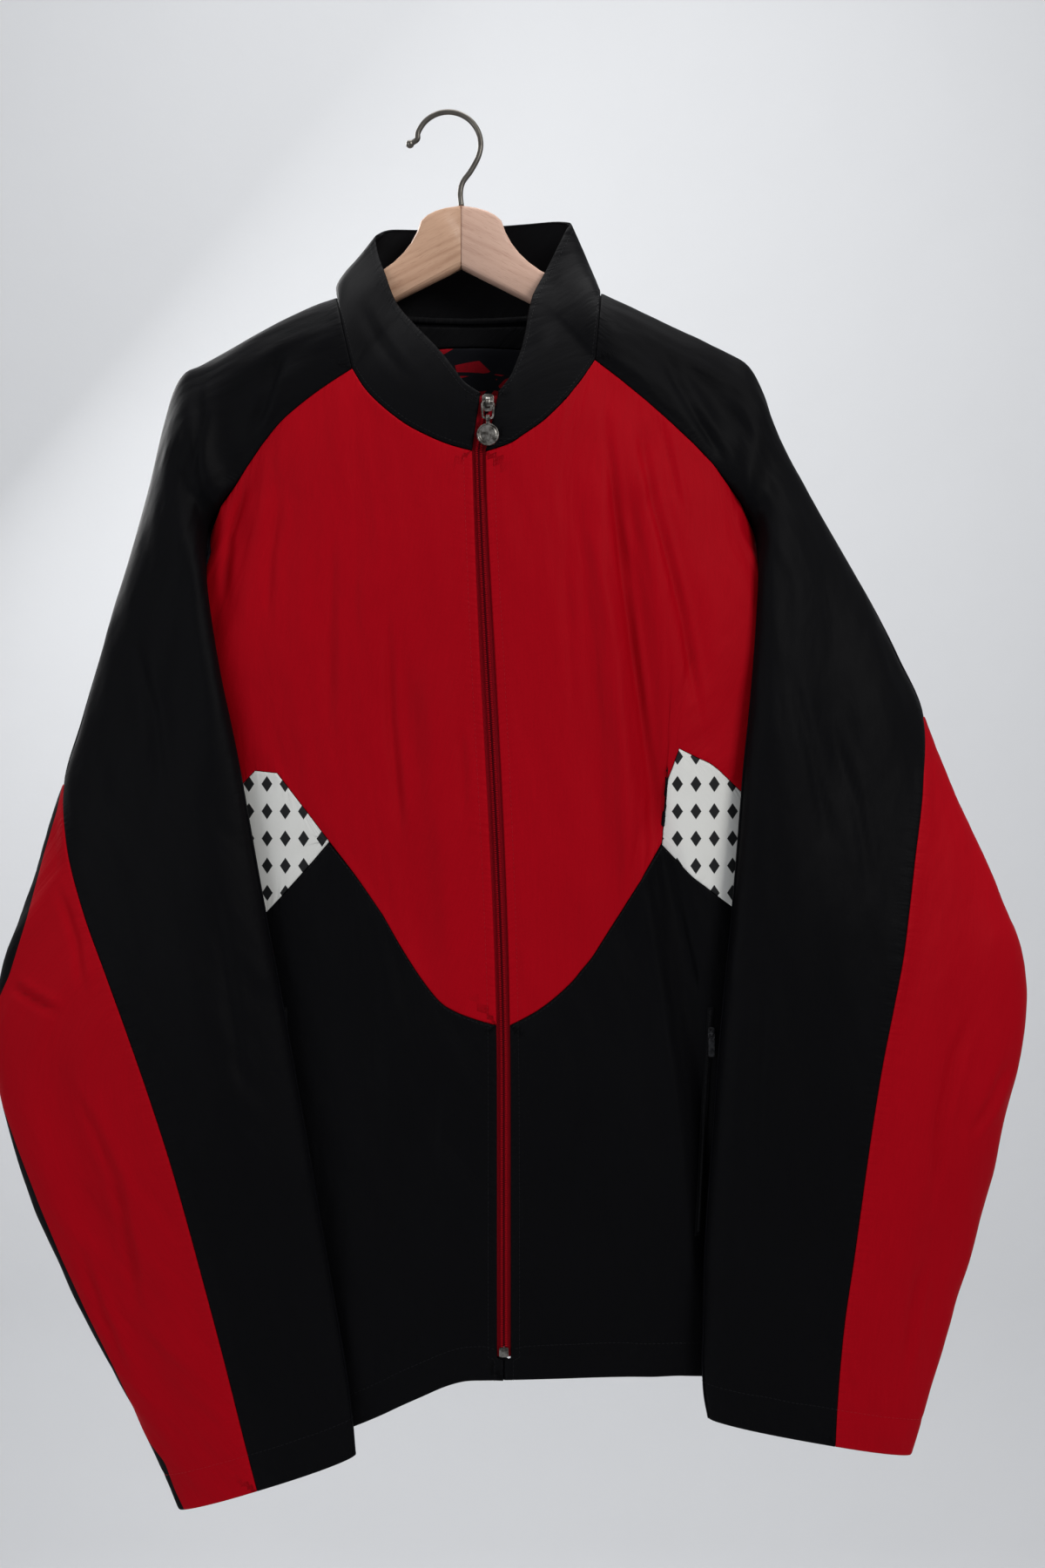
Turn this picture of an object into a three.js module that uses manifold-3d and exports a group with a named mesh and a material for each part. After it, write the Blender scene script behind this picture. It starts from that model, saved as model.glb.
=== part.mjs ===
// A zipped track jacket with raglan sleeves and a stand collar, hanging on a wooden hanger with a steel hook.
// Millimetres, +Z up, the front faces -Y. The origin is where the hook rests on what carries it.
// "Right" and "left" are the wearer's, so the right sleeve has negative X.
import * as THREE from "three";
import { mergeVertices } from "three/addons/utils/BufferGeometryUtils.js";
import Module from "manifold-3d";

const wasm = await Module();
wasm.setup();

// Driving dimensions
const CLOTH = 1.3;
const SEAM_GAP = 0.36;
const ZIP_OPENING = 9; // between the two front edges, where the zip shows
const ZIP_CLOSED = 0.4; // the same below the zip
const NECK_Z = -253;
const ZIP_TOP_Z = -216;
const ZIP_FOOT_Z = -884;
const LEAN = 17.3; // how far the zip drifts to the wearer's left on its way down
const HANGER_X = 10.5;
const WOOD_THICK = 13;
const WIRE_R = 2;

const COLOURS = {
  red: { color: 0x8e0a1c, roughness: 0.72, metalness: 0 },
  black: { color: 0x0c0d10, roughness: 0.78, metalness: 0 },
  white: { color: 0xd9d9d6, roughness: 0.75, metalness: 0 },
  print: { color: 0x151726, roughness: 0.8, metalness: 0 },
  tape: { color: 0x7c0a18, roughness: 0.8, metalness: 0 },
  steel: { color: 0x8a8884, roughness: 0.35, metalness: 0.9 },
  hook: { color: 0x5a5956, roughness: 0.4, metalness: 0.85 },
  wood: { color: 0xbf9c82, roughness: 0.6, metalness: 0 },
};
const material = (name) => new THREE.MeshStandardMaterial(COLOURS[name]);
const part = new THREE.Group();

// Places of the side pockets, as [x, z] of each slit's ends
const POCKETS = {
  right: { top: [-112, -640], foot: [-106, -800] },
  left: { top: [186.2, -640], foot: [177.2, -800] },
};

// Small helpers
const clamp = (v, low = 0, high = 1) => Math.min(high, Math.max(low, v));
const mix = (a, b, t) => a + (b - a) * t;
const smooth = (v) => clamp(v) ** 2 * (3 - 2 * clamp(v));
const steps = (n, from = 0, to = 1) => Array.from({ length: n + 1 }, (_, i) => mix(from, to, i / n));
const indices = (from, to) =>
  Array.from({ length: Math.abs(to - from) + 1 }, (_, i) => from + i * Math.sign(to - from));
const roundSteps = (n) => steps(n).map((t) => (1 - Math.cos(Math.PI * t)) / 2); // closer together at both ends
const point = (x, y, z) => new THREE.Vector3(x, y, z);

// A smooth curve through evenly numbered values.
function through(values, k) {
  const last = values.length - 1;
  const i = Math.min(Math.floor(clamp(k, 0, last)), last - 1);
  const t = clamp(k, 0, last) - i;
  const [a, b, c, d] = [values[Math.max(i - 1, 0)], values[i], values[i + 1], values[Math.min(i + 2, last)]];
  return b + 0.5 * t * (c - a + t * (2 * a - 5 * b + 4 * c - d + t * (3 * (b - c) + d - a)));
}
// Straight lines through [place, value] pairs, with the places rising.
function between(pairs, at) {
  const i = clamp(pairs.findIndex(([place]) => place >= at), 1, pairs.length - 1);
  const j = at > pairs[pairs.length - 1][0] ? pairs.length - 1 : i;
  const [[p, v], [q, w]] = [pairs[j - 1], pairs[j]];
  return mix(v, w, clamp((at - p) / (q - p)));
}

// The body's form: half width, and how far the front, sides and back lie from the hanger's plane
const BODY_ROWS = [
  { z: -930, half: 231, front: -50, side: 2, back: 29 },
  { z: -850, half: 240, front: -54, side: 2, back: 31 },
  { z: -700, half: 246, front: -58, side: 2, back: 33 },
  { z: -480, half: 246, front: -63, side: 2, back: 35 },
  { z: -400, half: 237, front: -65, side: 0, back: 35 },
  { z: -345, half: 216, front: -66, side: -6, back: 34 },
  { z: -305, half: 194, front: -65, side: -15, back: 33 },
  { z: -250, half: 194, front: -62, side: -12, back: 32 },
  { z: -130, half: 194, front: -58, side: -12, back: 30 },
];
const bodyRow = (key, z) => between(BODY_ROWS.map((row) => [row.z, row[key]]), z);
const RIDGE = { top: -86, right: 0.525, left: 0.46 }; // the shoulders slope down from the hanger's middle
const ridgeZ = (x) => RIDGE.top - Math.max((HANGER_X - x) * RIDGE.right, (x - HANGER_X) * RIDGE.left);
const roof = (x, z, depth) => Math.sqrt(1 - (1 - clamp((ridgeZ(x) - z) / depth)) ** 2.2);

function zipX(z) {
  if (z > NECK_Z) return 24.5 + (z - NECK_Z) * 0.2;
  return 24.5 + LEAN * Math.sin((Math.PI / 2) * clamp((NECK_Z - z) / 450) ** 1.3);
}

// Long folds of the front: a trough with a ridge beside it, along a line of [x, z] points
const FOLDS = [
  { name: "left_long", depth: 7, ridge: 6, width: 11, shift: -15,
    line: [[124, -285], [128, -350], [138, -436], [146, -512], [156, -560], [171, -654], [184, -742], [188, -830]] },
  { name: "left_shoulder", depth: 3, ridge: 2, width: 9, shift: -12,
    line: [[138, -222], [148, -270], [160, -330], [171, -376], [177, -430]] },
  { name: "right_armhole", depth: 6, ridge: 3, width: 9, shift: 13,
    line: [[-122, -240], [-140, -275], [-150, -318], [-158, -356], [-160, -400]] },
  { name: "right_chest", depth: 2.5, ridge: 2, width: 14, shift: 18,
    line: [[-30, -400], [-24, -480], [-18, -560], [-14, -620]] },
  { name: "left_hem", depth: 3, ridge: 2.5, width: 16, shift: 20,
    line: [[105, -700], [112, -780], [118, -860], [120, -910]] },
  { name: "right_hem", depth: 3.5, ridge: 3, width: 17, shift: -22,
    line: [[-18, -690], [-28, -770], [-36, -850], [-40, -915]] },
];
const bump = (d) => Math.exp(-d * d);
function foldDepth(x, z) {
  let sum = 0;
  for (const fold of FOLDS) {
    const [top, foot] = [fold.line[0][1], fold.line[fold.line.length - 1][1]];
    const fade = smooth((top - z) / 40 + 0.3) * smooth((z - foot) / 50 + 0.3);
    if (fade === 0) continue;
    const away = x - between([...fold.line].reverse().map(([px, pz]) => [pz, px]), z);
    sum += fade * (fold.depth * bump(away / fold.width) - fold.ridge * bump((away - fold.shift) / fold.width));
  }
  return sum;
}
function frontY(x, z) {
  const q = clamp(Math.abs(x - zipX(z)) / bodyRow("half", z));
  const [side, front] = [bodyRow("side", z), bodyRow("front", z)];
  const round = Math.sqrt(1 - q ** 2.6);
  const slope = mix(1, roof(x, z, 150), smooth((z + 330) / 60));
  return (side + (front - side) * round) * slope + foldDepth(x, z) * Math.sqrt(round);
}
function backY(x, z) {
  const q = clamp(Math.abs(x - zipX(z)) / bodyRow("half", z));
  const [side, back] = [bodyRow("side", z), bodyRow("back", z)];
  const waves = 2.2 * Math.cos((x - 30) / 31) * smooth((-420 - z) / 300) * (1 - q ** 4);
  return (side + (back - side) * Math.sqrt(1 - q ** 3.2)) * roof(x, z, 60) - waves;
}

// Sleeves: a row for each section from the neck (0) to the cuff. In is the seam or fold next to the body, out is the
// shoulder ridge or the outer edge, back is the back raglan seam. Gore is where the outer panel starts, from in to out.
const SLEEVES = {
  right: {
    goreFrom: 9,
    rows: [
      { inX: -64.5, inZ: -193.8, outX: -78.8, outZ: -133.6, backX: -73, backZ: -138 },
      { inX: -91.6, inZ: -211.1, outX: -109, outZ: -145.6, backX: -85, backZ: -170 },
      { inX: -118, inZ: -233, outX: -146.8, outZ: -165.1, backX: -112, backZ: -205 },
      { inX: -137.7, inZ: -258.4, outX: -175.1, outZ: -180.2, backX: -134, backZ: -238 },
      { inX: -152, inZ: -280, outX: -193, outZ: -191, backX: -152, backZ: -272 },
      { inX: -168.6, inZ: -304, outX: -204, outZ: -224, swell: 28, rear: 26 },
      { inX: -165, inZ: -356, inY: -40, outX: -219.5, outZ: -289.9, outY: -5, swell: 24, rear: 16 },
      { inX: -154.5, inZ: -411.7, inY: -52, outX: -237.3, outZ: -353.1, outY: -10, swell: 24, rear: 13 },
      { inX: -144.5, inZ: -454.3, inY: -57, outX: -253.9, outZ: -415.9, outY: -14, swell: 24, rear: 12 },
      { inX: -135.1, inZ: -502.6, inY: -60, outX: -273.6, outZ: -484.5, outY: -18, swell: 25, rear: 12, gore: 0.985 },
      { inX: -124.2, inZ: -562.8, inY: -61, outX: -293.7, outZ: -546.5, outY: -22, swell: 26, rear: 13, gore: 0.79 },
      { inX: -112.6, inZ: -623, inY: -62, outX: -313.1, outZ: -611.3, outY: -26, swell: 27, rear: 14, gore: 0.6 },
      { inX: -101.7, inZ: -683.2, inY: -62, outX: -320.6, outZ: -663.5, outY: -28, swell: 27, rear: 15, gore: 0.5 },
      { inX: -91.1, inZ: -743.8, inY: -61, outX: -305.9, outZ: -737.3, outY: -30, swell: 26, rear: 15, gore: 0.453 },
      { inX: -81.1, inZ: -804.6, inY: -59, outX: -280.7, outZ: -804.6, outY: -32, swell: 24, rear: 14, gore: 0.45 },
      { inX: -71, inZ: -865.5, inY: -57, outX: -249, outZ: -871.2, outY: -36, swell: 21, rear: 13, gore: 0.469 },
      { inX: -64.5, inZ: -908.5, inY: -56, outX: -220.6, outZ: -925.1, outY: -40, swell: 18, rear: 12, gore: 0.5 },
      { inX: -60.5, inZ: -950.4, inY: -56, outX: -186.2, outZ: -992.8, outY: -44, swell: 15, rear: 12, gore: 0.541 },
    ],
  },
  left: {
    goreFrom: 8,
    rows: [
      { inX: 105.6, inZ: -187.7, outX: 111.5, outZ: -130.4, backX: 106, backZ: -135 },
      { inX: 134.1, inZ: -209.9, outX: 136.7, outZ: -142.4, backX: 126, backZ: -170 },
      { inX: 162, inZ: -234, outX: 168.2, outZ: -157.5, backX: 156, backZ: -205 },
      { inX: 187, inZ: -257, outX: 199.7, outZ: -171.4, backX: 181, backZ: -238 },
      { inX: 203, inZ: -278, outX: 223, outZ: -188, backX: 202, backZ: -272 },
      { inX: 219.6, inZ: -304, outX: 240.5, outZ: -236, swell: 26, rear: 20 },
      { inX: 219, inZ: -356, inY: -40, outX: 280.8, outZ: -308.7, outY: -5, swell: 24, rear: 16 },
      { inX: 213.7, inZ: -417.8, inY: -52, outX: 311.3, outZ: -365.7, outY: -10, swell: 24, rear: 13 },
      { inX: 207.6, inZ: -472.4, inY: -57, outX: 342.9, outZ: -435.9, outY: -14, swell: 25, rear: 12, gore: 0.985 },
      { inX: 202.5, inZ: -532.7, inY: -60, outX: 368.9, outZ: -503.2, outY: -18, swell: 26, rear: 12, gore: 0.775 },
      { inX: 198.2, inZ: -580.9, inY: -61, outX: 395.9, outZ: -565.1, outY: -22, swell: 27, rear: 13, gore: 0.631 },
      { inX: 193.3, inZ: -629, inY: -62, outX: 410.5, outZ: -607, outY: -26, swell: 27, rear: 14, gore: 0.562 },
      { inX: 188.5, inZ: -683.2, inY: -62, outX: 409.8, outZ: -657.4, outY: -28, swell: 27, rear: 15, gore: 0.522 },
      { inX: 184.4, inZ: -743.8, inY: -61, outX: 395.1, outZ: -724.9, outY: -30, swell: 26, rear: 15, gore: 0.518 },
      { inX: 180.4, inZ: -804.6, inY: -59, outX: 379.8, outZ: -792.3, outY: -32, swell: 24, rear: 14, gore: 0.525 },
      { inX: 179.4, inZ: -859.5, inY: -57, outX: 359.9, outZ: -852.8, outY: -36, swell: 21, rear: 13, gore: 0.541 },
      { inX: 179, inZ: -898, inY: -56, outX: 342.4, outZ: -906.8, outY: -40, swell: 18, rear: 12, gore: 0.575 },
      { inX: 183, inZ: -925, inY: -56, outX: 327.6, outZ: -954.4, outY: -44, swell: 15, rear: 12, gore: 0.609 },
    ],
  },
};
const UNDERARM = 5; // the section where the raglan seams meet and the sleeve closes into a tube
const SLEEVE_CLEAR = 2.6; // between the sleeve and the body it hangs in front of
const POCKET_CLEAR = 4.5; // more of it over the right pocket's slider
const softMin = (a, b, r = 3) => {
  const h = clamp(0.5 + (b - a) / (2 * r));
  return mix(b, a, h) - r * h * (1 - h);
};

// How far forward the sleeve's back must stay, easing off beyond the body's side.
function restLine(x, z) {
  const past = Math.max(0, Math.abs(x - zipX(z)) - bodyRow("half", z));
  const { top } = POCKETS.right;
  const slider = POCKET_CLEAR * bump((x - top[0]) / 22) * bump((z - top[1] + 22) / 30);
  return frontY(x, z) - SLEEVE_CLEAR - slider + 1.2 * past;
}
function sleeveSection(sleeve, k) {
  const column = (key, missing) => through(sleeve.rows.map((row) => row[key] ?? missing), k);
  const closed = k >= UNDERARM;
  const [inX, inZ] = [column("inX"), column("inZ")];
  const raglan = sleeve.rows.slice(0, UNDERARM + 1);
  const backAt = (key, other) => through(raglan.map((row) => row[key] ?? row[other]), Math.min(k, UNDERARM));
  const [backX, backZ] = closed ? [inX, inZ] : [backAt("backX", "inX"), backAt("backZ", "inZ")];
  const hanging = through(sleeve.rows.map((row) => row.inY ?? -15), k);
  const inY = closed && k > UNDERARM ? Math.min(hanging, restLine(inX, inZ) - 1) : frontY(inX, inZ);
  return {
    inner: point(inX, inY, inZ),
    rear: point(backX, closed ? inY : backY(backX, backZ), backZ),
    outer: point(column("outX"), column("outY", 0), column("outZ")),
    swell: column("swell", 26),
    depth: column("rear", 22),
    k,
    side: sleeve === SLEEVES.left ? "left" : "right",
    hangs: k >= UNDERARM,
    gore: k < sleeve.goreFrom ? 1 : Math.min(1, column("gore", 1)),
    tube: smooth((k - 3.2) / 1.8),
  };
}
// Soft folds of the sleeves: a line across sections from k to toK and from a to toA, raised (+) or sunk (-)
const SLEEVE_FOLDS = [
  { side: "right", k: 0.6, toK: 3.4, a: 0.5, toA: 0.42, width: 0.11, height: -4 },
  { side: "right", k: 2.4, toK: 5.2, a: 0.62, toA: 0.5, width: 0.12, height: 4 },
  { side: "right", k: 5.5, toK: 10, a: 0.3, toA: 0.45, width: 0.11, height: -4 },
  { side: "right", k: 11, toK: 16.5, a: 0.72, toA: 0.8, width: 0.1, height: -5 },
  { side: "right", k: 9.5, toK: 14, a: 0.32, toA: 0.25, width: 0.12, height: 4 },
  { side: "left", k: 1, toK: 4.5, a: 0.55, toA: 0.4, width: 0.12, height: -4 },
  { side: "left", k: 5.4, toK: 9.5, a: 0.35, toA: 0.5, width: 0.12, height: -4 },
  { side: "left", k: 9.5, toK: 13.5, a: 0.74, toA: 0.78, width: 0.1, height: -5 },
  { side: "left", k: 12.5, toK: 16.8, a: 0.66, toA: 0.7, width: 0.1, height: 4 },
  { side: "left", k: 10, toK: 15.5, a: 0.28, toA: 0.22, width: 0.12, height: -4 },
];
function sleeveFold(section, layer, a) {
  if (layer > 0) return 0;
  let sum = 0;
  for (const fold of SLEEVE_FOLDS.filter((f) => f.side === section.side)) {
    const t = (section.k - fold.k) / (fold.toK - fold.k);
    if (t <= 0 || t >= 1) continue;
    sum += fold.height * Math.sin(Math.PI * t) * bump((a - mix(fold.a, fold.toA, t)) / fold.width);
  }
  return sum * smooth(6 * a) * smooth(8 * (1 - a));
}
// A point of the sleeve's front (layer -1) or back (layer 1), at a from the body side (0) to the outer edge (1).
function sleevePoint(section, layer, a) {
  const start = layer < 0 ? section.inner : section.rear;
  const p = start.clone().lerp(section.outer, a);
  const yoke = mix(section.outer.y, start.y, Math.sqrt(1 - a ** (layer < 0 ? 2.2 : 4.5)));
  const bulge = layer < 0 ? -section.swell : section.depth;
  let tube = mix(start.y, section.outer.y, a) + bulge * Math.sqrt(1 - Math.abs(2 * a - 1) ** 2.4);
  if (layer > 0 && section.hangs) tube = mix(tube, softMin(tube, restLine(p.x, p.z)), smooth(a / 0.03));
  p.y = mix(yoke, tube, section.tube) + layer * sleeveFold(section, layer, a);
  return p;
}

// Seams of the front: each list runs from the zip to the side
const FRONTS = {
  right: {
    sign: -1,
    neck: [
      [21.7, -253.9], [3.5, -249.3], [-11.6, -242.9], [-26.9, -234.5], [-42.3, -222.3], [-54.9, -209.1],
      [-64.5, -193.8],
    ],
    chestFoot: [[37, -652], [12.5, -644.5], [-5.6, -632.5], [-26.8, -602.3], [-48.1, -566.2], [-79.9, -523.9]],
    flashTop: [[-79.9, -523.9], [-100.1, -497.9], [-123.9, -471.1], [-141.7, -486.3], [-176, -515], [-208, -541]],
    flashFoot: [[-79.9, -523.9], [-97.3, -545.3], [-124.3, -574.3], [-150, -600], [-180, -628], [-205, -650]],
    hem: [[37, -901], [9.2, -902.5], [-25, -917], [-61.3, -933.7], [-110, -950], [-160, -952], [-190, -944]],
  },
  left: {
    sign: 1,
    neck: [
      [28.3, -254.5], [45.8, -248.7], [54.8, -242.9], [69.9, -232.1], [85.2, -216.6], [96.3, -202.2],
      [105.6, -187.7],
    ],
    chestFoot: [[45, -652], [60.8, -644.5], [79, -631.2], [100, -609], [127.4, -566.2], [152, -526]],
    flashTop: [[152, -526], [156.3, -478], [170.6, -458.3], [208.9, -491.9], [245, -520], [284, -548]],
    flashFoot: [[152, -526], [176.7, -552.7], [201.7, -570.2], [230, -592], [255, -612], [282, -632]],
    hem: [[45, -900.6], [91.2, -899.4], [140, -899], [180.1, -900], [220, -908], [250, -925], [273, -940]],
  },
};
const NECK_PARTS = 6;
const RAGLAN_PARTS = 8;
const FRONT_PARTS = NECK_PARTS + RAGLAN_PARTS;
const CHEST_PARTS = 8; // of these, the columns that end on the chest seam; the others end on the flash
const HALF_COLUMNS_FROM = 4;
const TUBE_PARTS = 18;
const ACROSS = 8;

// A seam point moved to its column's place, as a share of the half width and a height.
const toShare = ([x, z]) => ({ q: (x - zipX(z)) / bodyRow("half", z), z });
const fromShare = ({ q, z }, y) => {
  const x = zipX(z) + q * bodyRow("half", z);
  return point(x, y(x, z), z);
};
const alongSeam = (list, n) =>
  steps(n, 0, list.length - 1).map((k) => [through(list.map((p) => p[0]), k), through(list.map((p) => p[1]), k)]);
// Shares at the zip edge and the side are exact, so that neighbouring panels meet there.
function sharesOf(list, sign) {
  const shares = list.map(toShare);
  shares[shares.length - 1].q = sign;
  shares[0].q = (sign * ZIP_OPENING) / 2 / bodyRow("half", shares[0].z);
  return shares;
}
function stationsOf(sleeve) {
  const split = sleeve.goreFrom;
  const upper = Math.round((TUBE_PARTS * (split - UNDERARM)) / (17 - UNDERARM));
  return [
    ...steps(RAGLAN_PARTS, 0, UNDERARM),
    ...steps(upper, UNDERARM, split).slice(1),
    ...steps(TUBE_PARTS - upper, split, 17).slice(1),
  ];
}

// Panels as grids of points on their outer face
const panels = [];
const [FORWARD, BACKWARD] = [point(0, -1, 0), point(0, 1, 0)];
function addPanel(name, colour, facing, grid, thickness = CLOTH) {
  panels.push({ name, colour, facing, grid, thickness });
}
// A grid between a foot line and a top line of shares, with rows going up.
function bodyGrid(foot, top, rows, y) {
  return rows.map((v) => foot.map((f, j) => fromShare({ q: mix(f.q, top[j].q, v), z: mix(f.z, top[j].z, v) }, y)));
}
// Columns halfway between the others, from a column on, give the left front's folds their form. On a seam they stay
// on the straight line that the neighbouring panel has.
function withHalfColumns(grid, y, from) {
  return grid.map((line, i) => line.flatMap((p, j) => {
    if (j <= from || j === line.length - 1) return [p];
    const middle = line[j - 1].clone().lerp(p, 0.5);
    if (i > 0 && i < grid.length - 1) middle.y = y(middle.x, middle.z);
    return [middle, p];
  }));
}

const sideHeights = {};
const seams = {};
for (const [side, front] of Object.entries(FRONTS)) {
  const sleeve = SLEEVES[side];
  const stations = stationsOf(sleeve);
  const raglan = stations.slice(1, RAGLAN_PARTS + 1).map((k) => sleeveSection(sleeve, k).inner);
  const top = sharesOf([...alongSeam(front.neck, NECK_PARTS), ...raglan.map((p) => [p.x, p.z])], front.sign);
  const chestFoot = sharesOf([...alongSeam(front.chestFoot, CHEST_PARTS), [0, 0]], front.sign).slice(0, CHEST_PARTS + 1);
  const flashParts = FRONT_PARTS - CHEST_PARTS;
  const flashTop = sharesOf([[0, 0], ...alongSeam(front.flashTop, flashParts)], front.sign).slice(1);
  const flashFoot = sharesOf([[0, 0], ...alongSeam(front.flashFoot, flashParts)], front.sign).slice(1);
  const tip = 1.2; // the flash's first column keeps a little height
  flashFoot[0].z -= tip;
  const hem = sharesOf(alongSeam(front.hem, FRONT_PARTS), front.sign);
  const chestBottom = [...chestFoot.slice(0, -1), ...flashTop];
  const lowerTop = [...chestFoot.slice(0, -1), ...flashFoot];
  // The lower fronts meet below the zip's stop: the second and third rows lie there, close together.
  const stopRow = (ZIP_FOOT_Z - SEAM_GAP - hem[0].z) / (chestFoot[0].z - hem[0].z);
  const rows = { chest: steps(11), flash: steps(3), lower: [0, stopRow - 0.008, stopRow, ...steps(8).slice(1)] };
  const addFront = (name, colour, foot, head, heights, from) => {
    const grid = bodyGrid(foot, head, heights, frontY);
    if (name === "lower_front") grid.slice(0, 2).forEach(([p]) => p.setX(zipX(p.z) + (front.sign * ZIP_CLOSED) / 2));
    addPanel(`${name}_${side}`, colour, FORWARD, side === "left" ? withHalfColumns(grid, frontY, from) : grid);
  };
  addFront("chest", "red", chestBottom, top, rows.chest, HALF_COLUMNS_FROM);
  addFront("flash", "white", flashFoot, flashTop, rows.flash, 0);
  addFront("lower_front", "black", hem, lowerTop, rows.lower, HALF_COLUMNS_FROM);
  seams[side] = { neck: top.slice(0, NECK_PARTS + 1).map((share) => fromShare(share, frontY)) };
  const end = FRONT_PARTS;
  const heights = [
    ...rows.lower.map((v) => mix(hem[end].z, flashFoot[flashParts].z, v)),
    ...rows.flash.map((v) => mix(flashFoot[flashParts].z, flashTop[flashParts].z, v)).slice(1),
    ...rows.chest.map((v) => mix(flashTop[flashParts].z, top[end].z, v)).slice(1),
  ];
  sideHeights[side] = heights.map((z) => (z - heights[0]) / (heights[heights.length - 1] - heights[0]));
}

// The back, from the right side to the left
const BACK_NECK = [[-73, -138], [-45, -142], [20, -144], [78, -141], [106, -135]];
const BACK_HEM = [[-190, -944], [-150, -944], [-60, -914], [42, -898], [140, -898], [230, -922], [273, -940]];
const BACK_NECK_PARTS = 6;
{
  const raglanOf = (side) =>
    stationsOf(SLEEVES[side]).slice(0, RAGLAN_PARTS + 1).map((k) => {
      const p = sleeveSection(SLEEVES[side], k).rear;
      return [p.x, p.z];
    });
  const [right, left] = [raglanOf("right"), raglanOf("left")];
  const topLine = [...right.reverse(), ...alongSeam(BACK_NECK, BACK_NECK_PARTS).slice(1, -1), ...left];
  const shares = (list) => {
    const made = list.map(toShare);
    made[0].q = -1;
    made[made.length - 1].q = 1;
    return made;
  };
  const top = shares(topLine);
  const hem = shares(alongSeam(BACK_HEM, topLine.length - 1));
  hem[0].z = toShare(FRONTS.right.hem.at(-1)).z;
  hem[hem.length - 1].z = toShare(FRONTS.left.hem.at(-1)).z;
  const rows = sideHeights.right.map((v, i) => [v, sideHeights.left[i]]);
  const grid = rows.map(([vRight, vLeft]) =>
    top.map((t, j) => {
      const v = mix(vRight, vLeft, j / (top.length - 1));
      return fromShare({ q: mix(hem[j].q, t.q, v), z: mix(hem[j].z, t.z, v) }, backY);
    }),
  );
  addPanel("back", "black", BACKWARD, grid);
}

// The sleeves, each of a front, a back and an outer gore
for (const [side, sleeve] of Object.entries(SLEEVES)) {
  const stations = stationsOf(sleeve);
  const sections = stations.map((k) => sleeveSection(sleeve, k));
  for (const [layer, name, facing] of [[-1, "front", FORWARD], [1, "back", BACKWARD]]) {
    const grid = sections.map((s) => roundSteps(ACROSS).map((a) => sleevePoint(s, layer, a * s.gore)));
    addPanel(`sleeve_${name}_${side}`, "black", facing, grid);
  }
  const gore = sections.filter((_, i) => stations[i] >= sleeve.goreFrom - 1e-6);
  const half = steps(5).map((t) => Math.sin((Math.PI / 2) * t));
  const grid = gore.map((s) => [
    ...half.map((t) => sleevePoint(s, -1, mix(s.gore, 1, t))),
    ...half.slice(0, -1).reverse().map((t) => sleevePoint(s, 1, mix(s.gore, 1, t))),
  ]);
  addPanel(`sleeve_gore_${side}`, "red", point(FRONTS[side].sign, 0, 0), grid);
}

// The collar: its seam follows the panels below it, and its top edge droops open at the front
const COLLAR_TOP = [
  { x: 25.8, y: -60, z: -213 }, { x: 17.4, y: -58, z: -207.9 }, { x: 5.1, y: -52, z: -191.5 },
  { x: -4.3, y: -46, z: -178.6 }, { x: -18.9, y: -37, z: -162.3 }, { x: -34.5, y: -24, z: -141.6 },
  { x: -43, y: -14, z: -119.3 }, { x: -51, y: 4, z: -95 }, { x: -50, y: 17, z: -79.4 },
  { x: -20, y: 26, z: -76 }, { x: 19.5, y: 29, z: -73.5 }, { x: 60, y: 26, z: -71.5 },
  { x: 89, y: 17, z: -72.3 }, { x: 85.5, y: 3, z: -84 }, { x: 71, y: -12, z: -116 },
  { x: 60.5, y: -28, z: -141 }, { x: 55, y: -44, z: -174 }, { x: 46.5, y: -56, z: -200 }, { x: 38.2, y: -60, z: -212 },
];
const COLLAR_ROWS = steps(4);
const COLLAR_THICK = 2.2;
const COLLAR_BULGE = { right: 9, left: 3 };
function lengthsAlong(line) {
  const sums = [0];
  line.slice(1).forEach((p, i) => sums.push(sums[i] + p.distanceTo(line[i])));
  return sums.map((s) => s / sums[sums.length - 1]);
}
{
  const find = (name) => panels.find((p) => p.name === name).grid;
  const neckEdge = (side) => seams[side].neck;
  const yokeEdge = (side, layer) => find(`sleeve_${layer}_${side}`)[0];
  const back = find("back").at(-1).slice(RAGLAN_PARTS, RAGLAN_PARTS + BACK_NECK_PARTS + 1);
  const seam = [
    ...neckEdge("right"),
    ...yokeEdge("right", "front").slice(1),
    ...[...yokeEdge("right", "back")].reverse().slice(1),
    ...back.slice(1),
    ...yokeEdge("left", "back").slice(1),
    ...[...yokeEdge("left", "front")].reverse().slice(1),
    ...[...neckEdge("left")].reverse().slice(1),
  ];
  const fine = steps(160, 0, COLLAR_TOP.length - 1).map((k) =>
    point(...["x", "y", "z"].map((key) => through(COLLAR_TOP.map((p) => p[key]), k))));
  const along = lengthsAlong(fine);
  const topAt = (s) => point(...["x", "y", "z"].map((key) => between(along.map((a, i) => [a, fine[i][key]]), s)));
  const shares = lengthsAlong(seam);
  const grid = COLLAR_ROWS.map((v) =>
    seam.map((p, j) => {
      const at = p.clone().lerp(topAt(shares[j]), v);
      const side = shares[j] < 0.5 ? "right" : "left";
      const round = bump((Math.abs(shares[j] - 0.5) - 0.19) / 0.07) * Math.sin(Math.PI * v ** 0.8);
      at.x += (side === "right" ? -1 : 1) * COLLAR_BULGE[side] * round;
      at.y -= 3 * Math.sin(Math.PI * v) * bump((Math.abs(shares[j] - 0.5) - 0.4) / 0.1);
      return at;
    }),
  );
  addPanel("collar", "black", BACKWARD, grid, COLLAR_THICK);
}

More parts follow.
